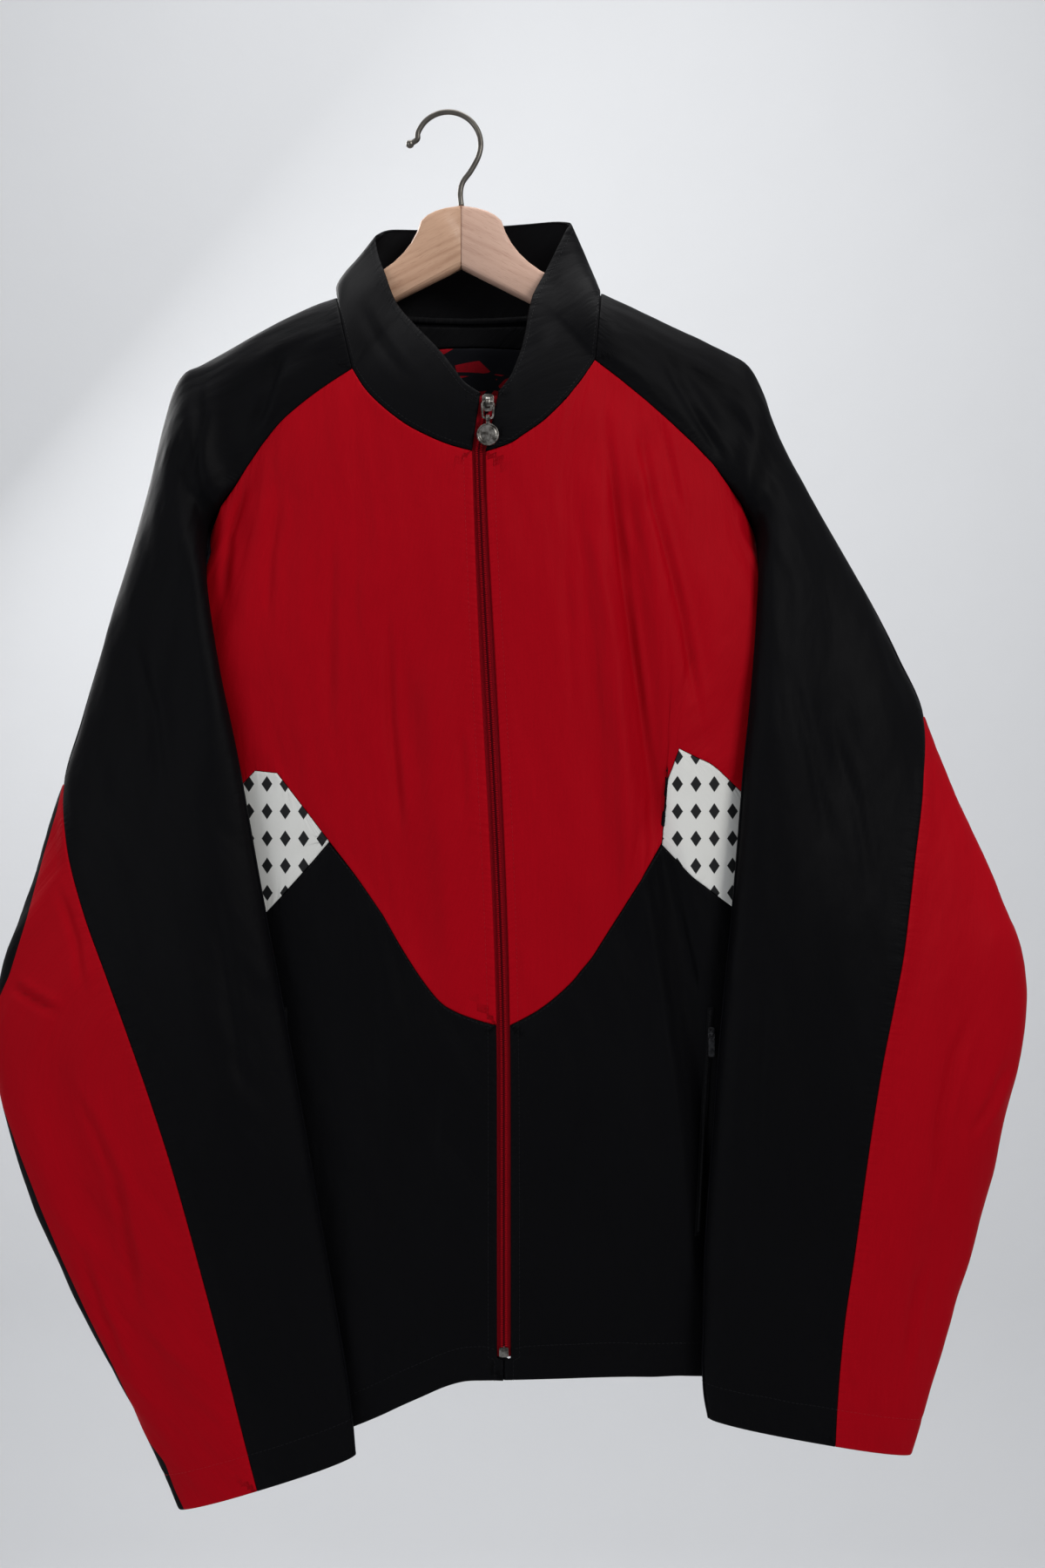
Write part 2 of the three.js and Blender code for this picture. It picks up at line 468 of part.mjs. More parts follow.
// Normals of each grid, and shared ones where panels meet, so that seam edges stand parallel
function normalsOf({ grid, facing }) {
  const [rows, columns] = [grid.length, grid[0].length];
  const normals = grid.map((line, i) => line.map((p, j) => {
    const along = grid[Math.min(i + 1, rows - 1)][j].clone().sub(grid[Math.max(i - 1, 0)][j]);
    const across = line[Math.min(j + 1, columns - 1)].clone().sub(line[Math.max(j - 1, 0)]);
    return along.cross(across).normalize();
  }));
  const outward = normals[rows >> 1][columns >> 1].dot(facing) > 0 ? 1 : -1;
  normals.flat().forEach((n) => n.multiplyScalar(outward));
  return normals;
}
function shareNormals() {
  const edges = [];
  for (const panel of panels) {
    panel.normals = normalsOf(panel);
    panel.grid.forEach((line, i) => line.forEach((p, j) => {
      const rim = i === 0 || j === 0 || i === panel.grid.length - 1 || j === line.length - 1;
      if (rim) edges.push({ name: panel.name, p, n: panel.normals[i][j], own: panel.normals[i][j].clone() });
    }));
  }
  for (const edge of edges) {
    let met = edges.filter((other) => other.p.distanceToSquared(edge.p) < 0.25);
    const underarm = met.some((other) => other.name === "back") && met.some((other) => other.name.startsWith("chest"));
    const sleeve = edge.name.startsWith("sleeve");
    if (underarm) met = met.filter((other) => other.name.startsWith("sleeve") === sleeve);
    const sum = point(0, 0, 0);
    met.forEach((other) => sum.add(other.own));
    if (sum.length() > 0.2) edge.n.copy(sum.normalize());
    edge.alone = met.every((other) => other.name === edge.name);
  }
  for (const panel of panels)
    for (const i of [0, panel.grid.length - 1]) {
      const met = (j) => !edges.find((edge) => edge.p === panel.grid[i][j])?.alone;
      for (const j of indices(1, panel.grid[i].length - 2))
        if (!met(j) && met(j - 1) && met(j + 1))
          panel.normals[i][j].copy(panel.normals[i][j - 1]).add(panel.normals[i][j + 1]).normalize();
    }
}
// A closed wall from a grid: outer face, inner face and the rim, with its edges drawn back from the seams.
function wallOf({ grid, normals, thickness }) {
  const [rows, columns] = [grid.length, grid[0].length];
  const drawn = grid.map((line) => line.map((p) => p.clone()));
  const pull = (i, j, inward, before, after) => {
    const rim = after.clone().sub(before).normalize();
    const step = inward.clone().sub(grid[i][j]);
    step.addScaledVector(rim, -step.dot(rim));
    if (step.length() > 1e-6) drawn[i][j].add(step.multiplyScalar(Math.min(0.4, SEAM_GAP / 2 / step.length())));
  };
  for (let j = 0; j < columns; j++) {
    const [before, after] = [Math.max(j - 1, 0), Math.min(j + 1, columns - 1)];
    pull(0, j, grid[1][j], grid[0][before], grid[0][after]);
    pull(rows - 1, j, grid[rows - 2][j], grid[rows - 1][before], grid[rows - 1][after]);
  }
  for (let i = 0; i < rows; i++) {
    const [before, after] = [Math.max(i - 1, 0), Math.min(i + 1, rows - 1)];
    pull(i, 0, grid[i][1], grid[before][0], grid[after][0]);
    pull(i, columns - 1, grid[i][columns - 2], grid[before][columns - 1], grid[after][columns - 1]);
  }
  const at = (i, j) => i * columns + j;
  const under = rows * columns;
  const vertices = [
    ...drawn.flat(),
    ...drawn.flatMap((line, i) => line.map((p, j) => p.clone().addScaledVector(normals[i][j], -thickness))),
  ];
  const faces = [];
  const quad = (a, b, c, d) => faces.push(a, b, c, a, c, d);
  for (let i = 0; i < rows - 1; i++)
    for (let j = 0; j < columns - 1; j++) {
      quad(at(i, j), at(i, j + 1), at(i + 1, j + 1), at(i + 1, j));
      quad(under + at(i, j), under + at(i + 1, j), under + at(i + 1, j + 1), under + at(i, j + 1));
    }
  const rim = [
    ...indices(0, columns - 1).map((j) => at(0, j)),
    ...indices(1, rows - 1).map((i) => at(i, columns - 1)),
    ...indices(columns - 2, 0).map((j) => at(rows - 1, j)),
    ...indices(rows - 2, 1).map((i) => at(i, 0)),
  ];
  rim.forEach((a, i) => {
    const b = rim[(i + 1) % rim.length];
    quad(b, a, under + a, under + b);
  });
  return closedGeometry(vertices, faces);
}
function closedGeometry(vertices, faces) {
  let volume = 0;
  for (let i = 0; i < faces.length; i += 3) {
    const [a, b, c] = [vertices[faces[i]], vertices[faces[i + 1]], vertices[faces[i + 2]]];
    volume += a.dot(b.clone().cross(c)) / 6;
  }
  if (volume < 0) for (let i = 0; i < faces.length; i += 3) [faces[i], faces[i + 1]] = [faces[i + 1], faces[i]];
  const geometry = new THREE.BufferGeometry();
  geometry.setAttribute("position", new THREE.Float32BufferAttribute(vertices.flatMap((v) => v.toArray()), 3));
  geometry.setIndex(faces);
  return geometry;
}
function addMesh(name, colour, geometry) {
  geometry.computeVertexNormals();
  const mesh = new THREE.Mesh(geometry, material(colour));
  mesh.name = name;
  part.add(mesh);
}
shareNormals();
for (const panel of panels) addMesh(panel.name, panel.colour, wallOf(panel));

// The depth of a panel's outer face at a place, from the face's own triangles, or null outside it
function panelY(name, x, z) {
  const { grid } = panels.find((panel) => panel.name === name);
  let found = null;
  for (let i = 0; i < grid.length - 1; i++)
    for (let j = 0; j < grid[0].length - 1; j++) {
      const [a, b, c, d] = [grid[i][j], grid[i][j + 1], grid[i + 1][j + 1], grid[i + 1][j]];
      for (const [p, q, r] of [[a, b, c], [a, c, d]]) {
        const area = (q.x - p.x) * (r.z - p.z) - (r.x - p.x) * (q.z - p.z);
        const u = ((x - p.x) * (r.z - p.z) - (r.x - p.x) * (z - p.z)) / area;
        const v = ((q.x - p.x) * (z - p.z) - (x - p.x) * (q.z - p.z)) / area;
        if (u < -1e-6 || v < -1e-6 || u + v > 1 + 1e-6) continue;
        const y = p.y + u * (q.y - p.y) + v * (r.y - p.y);
        if (found === null || y < found) found = y;
      }
    }
  return found;
}
const backPanelY = (x, z) => panelY("back", x, z) ?? backY(x, z);

// Inside the back neck: a facing below the collar and the printed lining that shows under it
const LINING = { seam: 2.6, edge: 4.5, foot: 5.5 }; // how far each edge lies in front of the back's outer face
{
  const sheet = (name, colour, top, foot, topIn, footIn, rows) => {
    const [upper, lower] = [alongSeam(top, 8), alongSeam(foot, 8)];
    const grid = steps(rows).map((v) => lower.map(([x, z], j) => {
      const [px, pz] = [mix(x, upper[j][0], v), mix(z, upper[j][1], v)];
      return point(px, backPanelY(px, pz) - mix(footIn, topIn, v), pz);
    }));
    const panel = { name, colour, facing: BACKWARD, grid, thickness: CLOTH };
    panel.normals = normalsOf(panel);
    addMesh(name, colour, wallOf(panel));
  };
  const top = [[-52, -146], [-20, -147.5], [20, -148], [60, -147.5], [84, -145.5]];
  const edge = [[-66, -172], [-20, -165], [20, -163], [60, -165], [102, -170]];
  const foot = [[-120, -330], [-60, -330], [20, -330], [110, -330], [172, -330]];
  sheet("neck_facing", "black", top, edge, LINING.seam, LINING.edge, 2);
  const under = edge.map(([x, z]) => [x, z - 0.4]);
  sheet("lining", "print", under, foot, LINING.edge, LINING.foot, 6);
}

// The front zip: a tape behind each edge, the closed chain between them, and a stop at its foot
const TAPE = { reach: 15, narrow: 8.5, thick: 1, behind: 0.5, part: 2.2 };
const CHAIN = { width: 5, high: 2.2, end: 14, gap: 0.45 };
const STOP = { wide: 6.6, deep: 2.2, high: 6.5 };
const SLIDER = { wide: 7.6, high: 12, thick: 2, bridge: 4, bar: 4.4, axis: 1.6, post: 2.4, top: ZIP_TOP_Z + 1 };
function outerY(x, z) {
  const side = x < zipX(z) ? "right" : "left";
  return panelY(`chest_${side}`, x, z) ?? panelY(`lower_front_${side}`, x, z) ?? panelY("collar", x, z) ?? frontY(x, z);
}
const wallHere = (z) => mix(CLOTH, COLLAR_THICK + 0.7, smooth((z - NECK_Z + 22) / 14));
const innerY = (x, z) => outerY(x, z) + wallHere(z) + TAPE.behind;
const zipY = (z) => (outerY(zipX(z) - 5.5, z) + outerY(zipX(z) + 5.5, z)) / 2;
// A bar along the zip, from the corners of its section at each height.
const ZIP_STEPS = steps(26, ZIP_FOOT_Z, SLIDER.top);
function alongZip(sectionAt, from, to) {
  const heights = [from, ...ZIP_STEPS.filter((z) => z > from + 1 && z < to - 1), to];
  const sections = heights.map((z) => sectionAt(z).map(([x, y]) => point(x, y, z)));
  const [n, parts] = [sections[0].length, heights.length - 1];
  const faces = [];
  for (let i = 0; i < parts; i++)
    for (let j = 0; j < n; j++) {
      const [a, b] = [i * n + j, i * n + ((j + 1) % n)];
      faces.push(a, b, b + n, a, b + n, a + n);
    }
  for (let j = 1; j < n - 1; j++) faces.push(0, j + 1, j, parts * n, parts * n + j, parts * n + j + 1);
  return closedGeometry(sections.flat(), faces);
}
for (const [side, sign] of [["right", -1], ["left", 1]]) {
  const section = (z) => {
    const parting = TAPE.part * smooth((z - (SLIDER.top - SLIDER.high)) / 6);
    const near = zipX(z) + sign * (SEAM_GAP / 2 + parting);
    const far = zipX(z) + sign * mix(TAPE.reach, TAPE.narrow, smooth((z - NECK_Z + 12) / 14));
    const [nearY, farY] = [innerY(zipX(z) + sign * 5.5, z), innerY(far, z)];
    return [[near, nearY], [far, farY], [far, farY + TAPE.thick], [near, nearY + TAPE.thick]];
  };
  addMesh(`zip_tape_${side}`, "tape", alongZip(section, ZIP_FOOT_Z, SLIDER.top));
}
const tapeY = (z) => Math.min(innerY(zipX(z) - 5.5, z), innerY(zipX(z) + 5.5, z));
{
  const section = (z) => {
    const [half, x, foot] = [CHAIN.width / 2, zipX(z), tapeY(z) - CHAIN.gap];
    const depths = [[-half, 0], [-half, 1], [-half / 2, CHAIN.high], [half / 2, CHAIN.high], [half, 1], [half, 0]];
    return depths.map(([dx, dy]) => [x + dx, foot - dy]);
  };
  addMesh("zip_chain", "tape", alongZip(section, ZIP_FOOT_Z + STOP.high + 1, SLIDER.top - CHAIN.end));
  const box = new THREE.BoxGeometry(STOP.wide, STOP.deep, STOP.high);
  const z = ZIP_FOOT_Z + 0.3 + STOP.high / 2;
  box.translate(zipX(z), tapeY(z) - SEAM_GAP - 0.3 - STOP.deep / 2, z);
  addMesh("zip_stop", "steel", box);
}

// Solids joined and cut, for the small metal pieces
function solidOf(geometry) {
  const bare = geometry.clone();
  bare.deleteAttribute("normal");
  bare.deleteAttribute("uv");
  const merged = mergeVertices(bare, 1e-4);
  const [vertProperties, triVerts] = [merged.attributes.position.array, new Uint32Array(merged.index.array)];
  return new wasm.Manifold(new wasm.Mesh({ numProp: 3, vertProperties, triVerts }));
}
function geometryOf(solid) {
  const mesh = solid.getMesh();
  const geometry = new THREE.BufferGeometry();
  geometry.setAttribute("position", new THREE.BufferAttribute(new Float32Array(mesh.vertProperties), 3));
  geometry.setIndex(new THREE.BufferAttribute(new Uint32Array(mesh.triVerts), 1));
  return geometry;
}
const boxAt = (x, y, z, w, d, h) => solidOf(new THREE.BoxGeometry(w, d, h).translate(x, y, z));
// A round bar along X.
const barAt = (x, y, z, r, long, sides = 12) =>
  solidOf(new THREE.CylinderGeometry(r, r, long, sides).rotateZ(Math.PI / 2).translate(x, y, z));

// A zip slider with a bridge, in front of a chain at (x, y), its top at z.
function sliderSolid(x, y, z, size) {
  const plate = boxAt(x, y - size.thick / 2, z - size.high / 2, size.wide, size.thick, size.high);
  const bridge = barAt(x, y - size.thick, z - size.high / 2, size.bridge, size.bar, 16);
  const hole = barAt(x, y - size.thick, z - size.high / 2, size.bridge - 1, size.bar + 2, 16);
  const clear = boxAt(x, y + 5, z - size.high / 2, 40, 10, 40);
  return plate.add(bridge.subtract(hole)).subtract(clear);
}
const sliderX = zipX(SLIDER.top - SLIDER.high / 2);
const sliderRear = Math.min(zipY(SLIDER.top), zipY(SLIDER.top - SLIDER.high)) - 1.2;
const hingeZ = SLIDER.top - SLIDER.high / 2;
const hingeY = sliderRear - SLIDER.thick - SLIDER.axis;
{
  const z = SLIDER.top - 2.6;
  const inside = innerY(zipX(z), z) + TAPE.thick + 0.8;
  const post = boxAt(zipX(z), (sliderRear - 0.5 + inside + 0.5) / 2, z, SLIDER.post, inside - sliderRear + 1, 4);
  const rear = boxAt(zipX(z), inside + 0.7, z - 1, SLIDER.wide, 1.4, 6.4);
  const whole = sliderSolid(sliderX, sliderRear, SLIDER.top, SLIDER).add(post).add(rear);
  addMesh("slider", "steel", geometryOf(whole));
}
const LINK = { wide: 10, high: 13, bar: 0.9 };
const DISC = { r: 7.8, thick: 1.8 };
const linkFootZ = hingeZ - LINK.high + 2 * LINK.bar;
{
  const ring = new THREE.Shape();
  const [w, top, foot] = [LINK.wide / 2, hingeZ + LINK.bar, linkFootZ - LINK.bar];
  ring.moveTo(-w, foot).lineTo(w, foot).lineTo(w, top).lineTo(-w, top).closePath();
  const gap = new THREE.Path();
  const inset = 2 * LINK.bar;
  gap.moveTo(-w + inset, foot + inset).lineTo(-w + inset, top - inset).lineTo(w - inset, top - inset)
    .lineTo(w - inset, foot + inset).closePath();
  ring.holes.push(gap);
  const link = new THREE.ExtrudeGeometry(ring, { depth: 2 * LINK.bar, bevelEnabled: false });
  link.rotateX(Math.PI / 2).translate(sliderX, hingeY + LINK.bar, 0);
  addMesh("pull_link", "steel", link);

  const eyeR = 2.6;
  const eye = barAt(sliderX, hingeY, linkFootZ, eyeR, 3.6, 16).subtract(barAt(sliderX, hingeY, linkFootZ, 1.5, 6, 16));
  const discZ = linkFootZ - eyeR - 0.8 - DISC.r;
  const half = DISC.thick / 2;
  const profile = [[0, -half], [DISC.r - 0.5, -half], [DISC.r, -half + 0.4], [DISC.r, half - 0.4], [DISC.r - 0.5, half],
    [DISC.r - 1.3, half], [DISC.r - 1.6, half - 0.35], [0, half - 0.35]];
  const round = new THREE.LatheGeometry(profile.map(([r, h]) => new THREE.Vector2(r, h)), 28);
  round.rotateX(Math.PI).translate(sliderX, hingeY, discZ);
  const stem = boxAt(sliderX, hingeY, linkFootZ - eyeR - 0.6, 2.2, 1.6, 3);
  addMesh("pull_disc", "steel", geometryOf(eye.add(solidOf(round)).add(stem)));
}

// A zipped pocket slit on each lower front, with a small slider and pull at its top
const SLIT = { wide: 5, high: 1.2, raise: 0.35 };
const SMALL = { wide: 4.6, high: 8, thick: 1.2, bridge: 2.8, bar: 2.2, axis: 0.85 };
const TAB = { wide: 5, thick: 1, long: 17, slot: 3.2 };
for (const [side, pocket] of Object.entries(POCKETS)) {
  const onFront = (px, pz) => panelY(`lower_front_${side}`, px, pz);
  const lines = steps(16).map((t) => {
    const [x, z] = [mix(pocket.top[0], pocket.foot[0], t), mix(pocket.top[1], pocket.foot[1], t)];
    const half = SLIT.wide / 2;
    return [-half, -half / 2, half / 2, half].map((dx, i) => {
      const rise = SLIT.raise + (i % 3 ? SLIT.high : SLIT.high * 0.7);
      return point(x + dx, onFront(x + dx, z) - rise, z);
    });
  });
  const strip = { name: `pocket_zip_${side}`, grid: lines, thickness: 0.7 };
  strip.normals = lines.map((line) => line.map(() => FORWARD));
  addMesh(strip.name, "black", wallOf(strip));
  const [x, z] = [pocket.top[0] + 0.3, pocket.top[1] - 14];
  const y = onFront(x, z) - SLIT.raise - SLIT.high - 0.5;
  const axis = [y - SMALL.thick - SMALL.axis, z - SMALL.high / 2];
  addMesh(`pocket_slider_${side}`, "steel", geometryOf(sliderSolid(x, y, z, SMALL)));
  const slotHigh = SMALL.bridge + 1.2;
  const slot = boxAt(x, axis[0], axis[1] - TAB.thick / 2 - slotHigh / 2, TAB.slot, 4, slotHigh);
  const tab = boxAt(x, axis[0], axis[1] + TAB.thick / 2 - TAB.long / 2, TAB.wide, TAB.thick, TAB.long).subtract(slot);
  addMesh(`pocket_pull_${side}`, "steel", geometryOf(tab));
}

// The hanger: two wooden halves glued at the middle, and the hook screwed into them
const WOOD_TOP_Z = -66.5;
const ARM_REACH = 199;
const EASE = 3.5; // its rounded edges
const UNDER_RIDGE = CLOTH + 1.5;
const NECK_DIP = 1.6; // the arms dip a little under the collar's seam
for (const [side, sign] of [["right", -1], ["left", 1]]) {
  const ridge = SLEEVES[side].rows.slice(0, 4).map((row, i) =>
    [sign * (row.outX - HANGER_X), row.outZ - UNDER_RIDGE * 1.13 - (i === 0 ? NECK_DIP : 0)]);
  const tip = [ARM_REACH, through(SLEEVES[side].rows.map((row) => row.outZ), 4) - 4.4];
  const past = -8; // beyond the glued joint, where the half is cut off square
  const outline = new THREE.Shape();
  outline.moveTo(past, -109).lineTo(past, WOOD_TOP_Z);
  outline.quadraticCurveTo(20, WOOD_TOP_Z, 29, -77.5);
  outline.bezierCurveTo(33, -92, 42, -104, 57, -113.5);
  ridge.forEach(([dx, z]) => outline.lineTo(dx, z));
  outline.lineTo(tip[0] - 5, tip[1] + 2).lineTo(tip[0], tip[1] - 3);
  outline.lineTo(tip[0] + 1, tip[1] - 17).lineTo(tip[0] - 5, tip[1] - 22);
  outline.lineTo(60, -141.5).lineTo(0, -111.3).closePath();
  const wood = new THREE.ExtrudeGeometry(outline, {
    depth: WOOD_THICK - 2 * EASE, bevelEnabled: true, bevelThickness: EASE, bevelSize: EASE, bevelOffset: -EASE,
    bevelSegments: 2, curveSegments: 5,
  });
  wood.rotateX(Math.PI / 2).translate(0, WOOD_THICK / 2 - EASE, 0);
  const whole = solidOf(wood).intersect(boxAt(150 + SEAM_GAP / 2, 0, -150, 300, 40, 300));
  const half = sign < 0 ? whole.mirror([1, 0, 0]) : whole;
  addMesh(`hanger_wood_${side}`, "wood", geometryOf(half.translate([HANGER_X, 0, 0])));
}
{
  const [bendX, bendZ, bendR] = [1, -21.5, 23.5];
  const turn = (degrees) => {
    const a = THREE.MathUtils.degToRad(degrees);
    return point(bendX + bendR * Math.cos(a), 0, bendZ + bendR * Math.sin(a));
  };
  const route = new THREE.CatmullRomCurve3([
    point(-26.7, 0, -21.3), point(-21.5, 0, -17.8), ...steps(8, 158, -22).map(turn),
    point(17.5, 0, -40.5), point(11.5, 0, -49), point(HANGER_X - 0.8, 0, -57), point(HANGER_X, 0, WOOD_TOP_Z + 0.4),
  ]);
  const around = steps(9, 0, 2 * Math.PI * 0.9);
  const ring = new THREE.Shape(around.map((a) => new THREE.Vector2(Math.cos(a), Math.sin(a)).multiplyScalar(WIRE_R)));
  const wire = new THREE.ExtrudeGeometry(ring, { extrudePath: route, steps: 38, bevelEnabled: false });
  const ball = solidOf(new THREE.SphereGeometry(3, 12, 8).translate(-26.7, 0, -21.3));
  addMesh("hook", "hook", geometryOf(solidOf(wire).add(ball)));
}

export default part;
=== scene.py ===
"""A zipped track jacket on a wooden hanger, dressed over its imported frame.

Metres, +Z up, and the front faces -Y. Right and left are the wearer's, so the right side has negative X.
"""

from __future__ import annotations

import logging
import math
from collections.abc import Callable, Sequence
from dataclasses import dataclass, field
from enum import Enum
from typing import Any, ClassVar

import bmesh
import bpy
import numpy as np
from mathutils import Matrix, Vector
from mathutils.bvhtree import BVHTree


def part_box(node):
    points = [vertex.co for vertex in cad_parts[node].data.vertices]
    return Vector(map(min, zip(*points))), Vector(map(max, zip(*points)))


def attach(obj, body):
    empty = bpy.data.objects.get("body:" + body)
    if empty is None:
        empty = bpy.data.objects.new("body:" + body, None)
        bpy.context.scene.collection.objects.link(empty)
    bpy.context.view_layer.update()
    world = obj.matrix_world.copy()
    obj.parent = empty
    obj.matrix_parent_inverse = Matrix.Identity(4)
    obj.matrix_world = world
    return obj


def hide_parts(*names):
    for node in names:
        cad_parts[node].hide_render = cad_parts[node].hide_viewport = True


MM = 0.001
WELD = 1e-6
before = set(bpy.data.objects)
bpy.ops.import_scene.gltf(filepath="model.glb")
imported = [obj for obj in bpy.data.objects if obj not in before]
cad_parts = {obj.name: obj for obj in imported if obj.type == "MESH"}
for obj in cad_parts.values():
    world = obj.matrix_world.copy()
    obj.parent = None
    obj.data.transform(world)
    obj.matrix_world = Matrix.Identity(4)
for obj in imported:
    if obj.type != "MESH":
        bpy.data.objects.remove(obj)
LOG = logging.getLogger("jacket")

Path = list[Vector]
Colour = tuple[float, float, float]


# Shader maths


class Value:
    """A number inside a material's node tree, which Python's operators work on."""

    def __init__(self, shader: Shader, socket: Any) -> None:
        """Keeps the socket that the number comes from.

        Args:
            shader: the material that is being built.
            socket: the node socket that gives the number.
        """
        self.shader = shader
        self.socket = socket

    def _maths(self, operation: str, *values: Any) -> Value:
        """Adds a Math node.

        Args:
            operation: the node's operation.
            values: its inputs, as numbers or Values.

        Returns:
            The node's result.
        """
        return self.shader.value("ShaderNodeMath", {"operation": operation}, dict(enumerate(values)))

    def __add__(self, other: Any) -> Value:
        """Sum."""
        return self._maths("ADD", self, other)

    __radd__ = __add__

    def __sub__(self, other: Any) -> Value:
        """Difference."""
        return self._maths("SUBTRACT", self, other)

    def __rsub__(self, other: Any) -> Value:
        """Difference from a number."""
        return self._maths("SUBTRACT", other, self)

    def __mul__(self, other: Any) -> Value:
        """Product."""
        return self._maths("MULTIPLY", self, other)

    def __truediv__(self, other: Any) -> Value:
        """Quotient."""
        return self._maths("DIVIDE", self, other)

    def __pow__(self, other: Any) -> Value:
        """Power."""
        return self._maths("POWER", self, other)

    def __abs__(self) -> Value:
        """Size without sign."""
        return self._maths("ABSOLUTE", self)

    def __gt__(self, other: Any) -> Value:
        """One where it is the larger."""
        return self._maths("GREATER_THAN", self, other)

    def sine(self) -> Value:
        """Its sine."""
        return self._maths("SINE", self)

    def fraction(self) -> Value:
        """What is left above the whole number below."""
        return self._maths("FRACT", self)

    def least(self, other: Any) -> Value:
        """The smaller of two."""
        return self._maths("MINIMUM", self, other)

    def fall(self, length: float) -> Value:
        """One at zero, falling away over a length."""
        return self._maths("EXPONENT", self * (-1 / length))

    def smooth(self, low: float, high: float) -> Value:
        """Zero below low and one above high, smooth between."""
        kind = {"interpolation_type": "SMOOTHSTEP"}
        return self.shader.value("ShaderNodeMapRange", kind, {"Value": self, "From Min": low, "From Max": high})


class Shader:
    """A material while its node tree is built."""

    def __init__(self, name: str) -> None:
        """Starts an empty material.

        Args:
            name: the material's name.
        """
        self.material = bpy.data.materials.new(name)
        self.material.use_nodes = True
        self.tree = self.material.node_tree
        self.tree.nodes.clear()

    def node(self, kind: str, settings: dict[str, Any] | None = None, sockets: dict[Any, Any] | None = None) -> Any:
        """Adds a node.

        Args:
            kind: the node's type.
            settings: what is set on the node before its sockets.
            sockets: values or links, by the socket's name or number.

        Returns:
            The node.
        """
        node = self.tree.nodes.new(kind)
        for key, value in (settings or {}).items():
            setattr(node, key, value)
        for key, value in (sockets or {}).items():
            if isinstance(value, Value):
                self.tree.links.new(value.socket, node.inputs[key])
            elif hasattr(value, "is_output"):
                self.tree.links.new(value, node.inputs[key])
            else:
                node.inputs[key].default_value = value
        return node

    def value(self, kind: str, settings: dict[str, Any], sockets: dict[Any, Any], output: Any = 0) -> Value:
        """Adds a node and gives one of its results as a number."""
        return Value(self, self.node(kind, settings, sockets).outputs[output])

    def parts(self, vector: Any) -> list[Value]:
        """The three numbers of a vector."""
        outputs = self.node("ShaderNodeSeparateXYZ", {}, {0: vector}).outputs
        return [Value(self, part) for part in outputs]

    def place(self) -> Any:
        """The object's own coordinates."""
        return self.node("ShaderNodeTexCoord").outputs["Object"]

    def attribute(self, name: str) -> Value:
        """A number that is stored on the mesh."""
        return self.value("ShaderNodeAttribute", {"attribute_name": name}, {}, "Fac")

    def cloth_place(self) -> Any:
        """The coordinates along the cloth, in metres."""
        return self.node("ShaderNodeUVMap", {"uv_map": "cloth"}).outputs[0]

    def scaled(self, vector: Any, scale: Sequence[float], turn: float = 0.0) -> Any:
        """Coordinates turned about the third way and then scaled.

        Args:
            vector: the coordinates' socket.
            scale: a scale for each way.
            turn: a turn in degrees.

        Returns:
            The new coordinates' socket.
        """
        sockets = {"Vector": vector, "Rotation": (0, 0, math.radians(turn)), "Scale": tuple(scale)}
        return self.node("ShaderNodeMapping", {"vector_type": "POINT"}, sockets).outputs[0]

    def noise(self, vector: Any, scale: float, detail: float = 2.0, rough: float = 0.5) -> Value:
        """Soft noise from 0 to 1.

        Args:
            vector: the coordinates' socket.
            scale: lumps in a metre.
            detail: how many finer layers it has.
            rough: how strong those are.

        Returns:
            The noise.
        """
        sockets = {"Vector": vector, "Scale": scale, "Detail": detail, "Roughness": rough}
        return self.value("ShaderNodeTexNoise", {}, sockets)

    def mixed(self, factor: Any, first: Any, second: Any) -> Any:
        """A colour between two.

        Args:
            factor: zero for the first and one for the second.
            first: a colour or its socket.
            second: a colour or its socket.

        Returns:
            The colour's socket.
        """
        node = self.node("ShaderNodeMix", {"data_type": "RGBA"}, {0: factor})
        for socket, colour in ((node.inputs[6], first), (node.inputs[7], second)):
            if hasattr(colour, "is_output"):
                self.tree.links.new(colour, socket)
            else:
                socket.default_value = (*colour, 1)
        return node.outputs[2]

    def lit(self, colour: Any, strength: Value) -> Any:
        """A colour made brighter or darker by a number."""
        tint = colour if hasattr(colour, "is_output") else self.mixed(0.0, colour, colour)
        return self.node("ShaderNodeVectorMath", {"operation": "SCALE"}, {0: tint, "Scale": strength}).outputs[0]

    def finish(self, colour: Any, roughness: Any, height: Value | None = None, **fixed: float) -> Any:
        """Joins the tree to a surface.

        Args:
            colour: the base colour or its socket.
            roughness: a number or a Value.
            height: relief in millimetres.
            fixed: other inputs of the surface, the same all over, with underscores for spaces.

        Returns:
            The material.
        """
        sockets: dict[Any, Any] = {"Roughness": roughness}
        sockets["Base Color"] = colour if hasattr(colour, "is_output") else (*colour, 1)
        for key, number in fixed.items():
            sockets[key.replace("_", " ").title().replace("Ior", "IOR")] = number
        if height is not None:
            sockets["Normal"] = self.node("ShaderNodeBump", {}, {"Height": height, "Distance": MM}).outputs[0]
        surface = self.node("ShaderNodeBsdfPrincipled", {}, sockets)
        self.node("ShaderNodeOutputMaterial", {}, {"Surface": surface.outputs[0]})
        return self.material


def linear(red: int, green: int, blue: int) -> Colour:
    """A colour as the eye sees it, from 0 to 255, turned into light."""
    made = [c / 255 / 12.92 if c < 11 else ((c / 255 + 0.055) / 1.055) ** 2.4 for c in (red, green, blue)]
    return made[0], made[1], made[2]


# Finishes


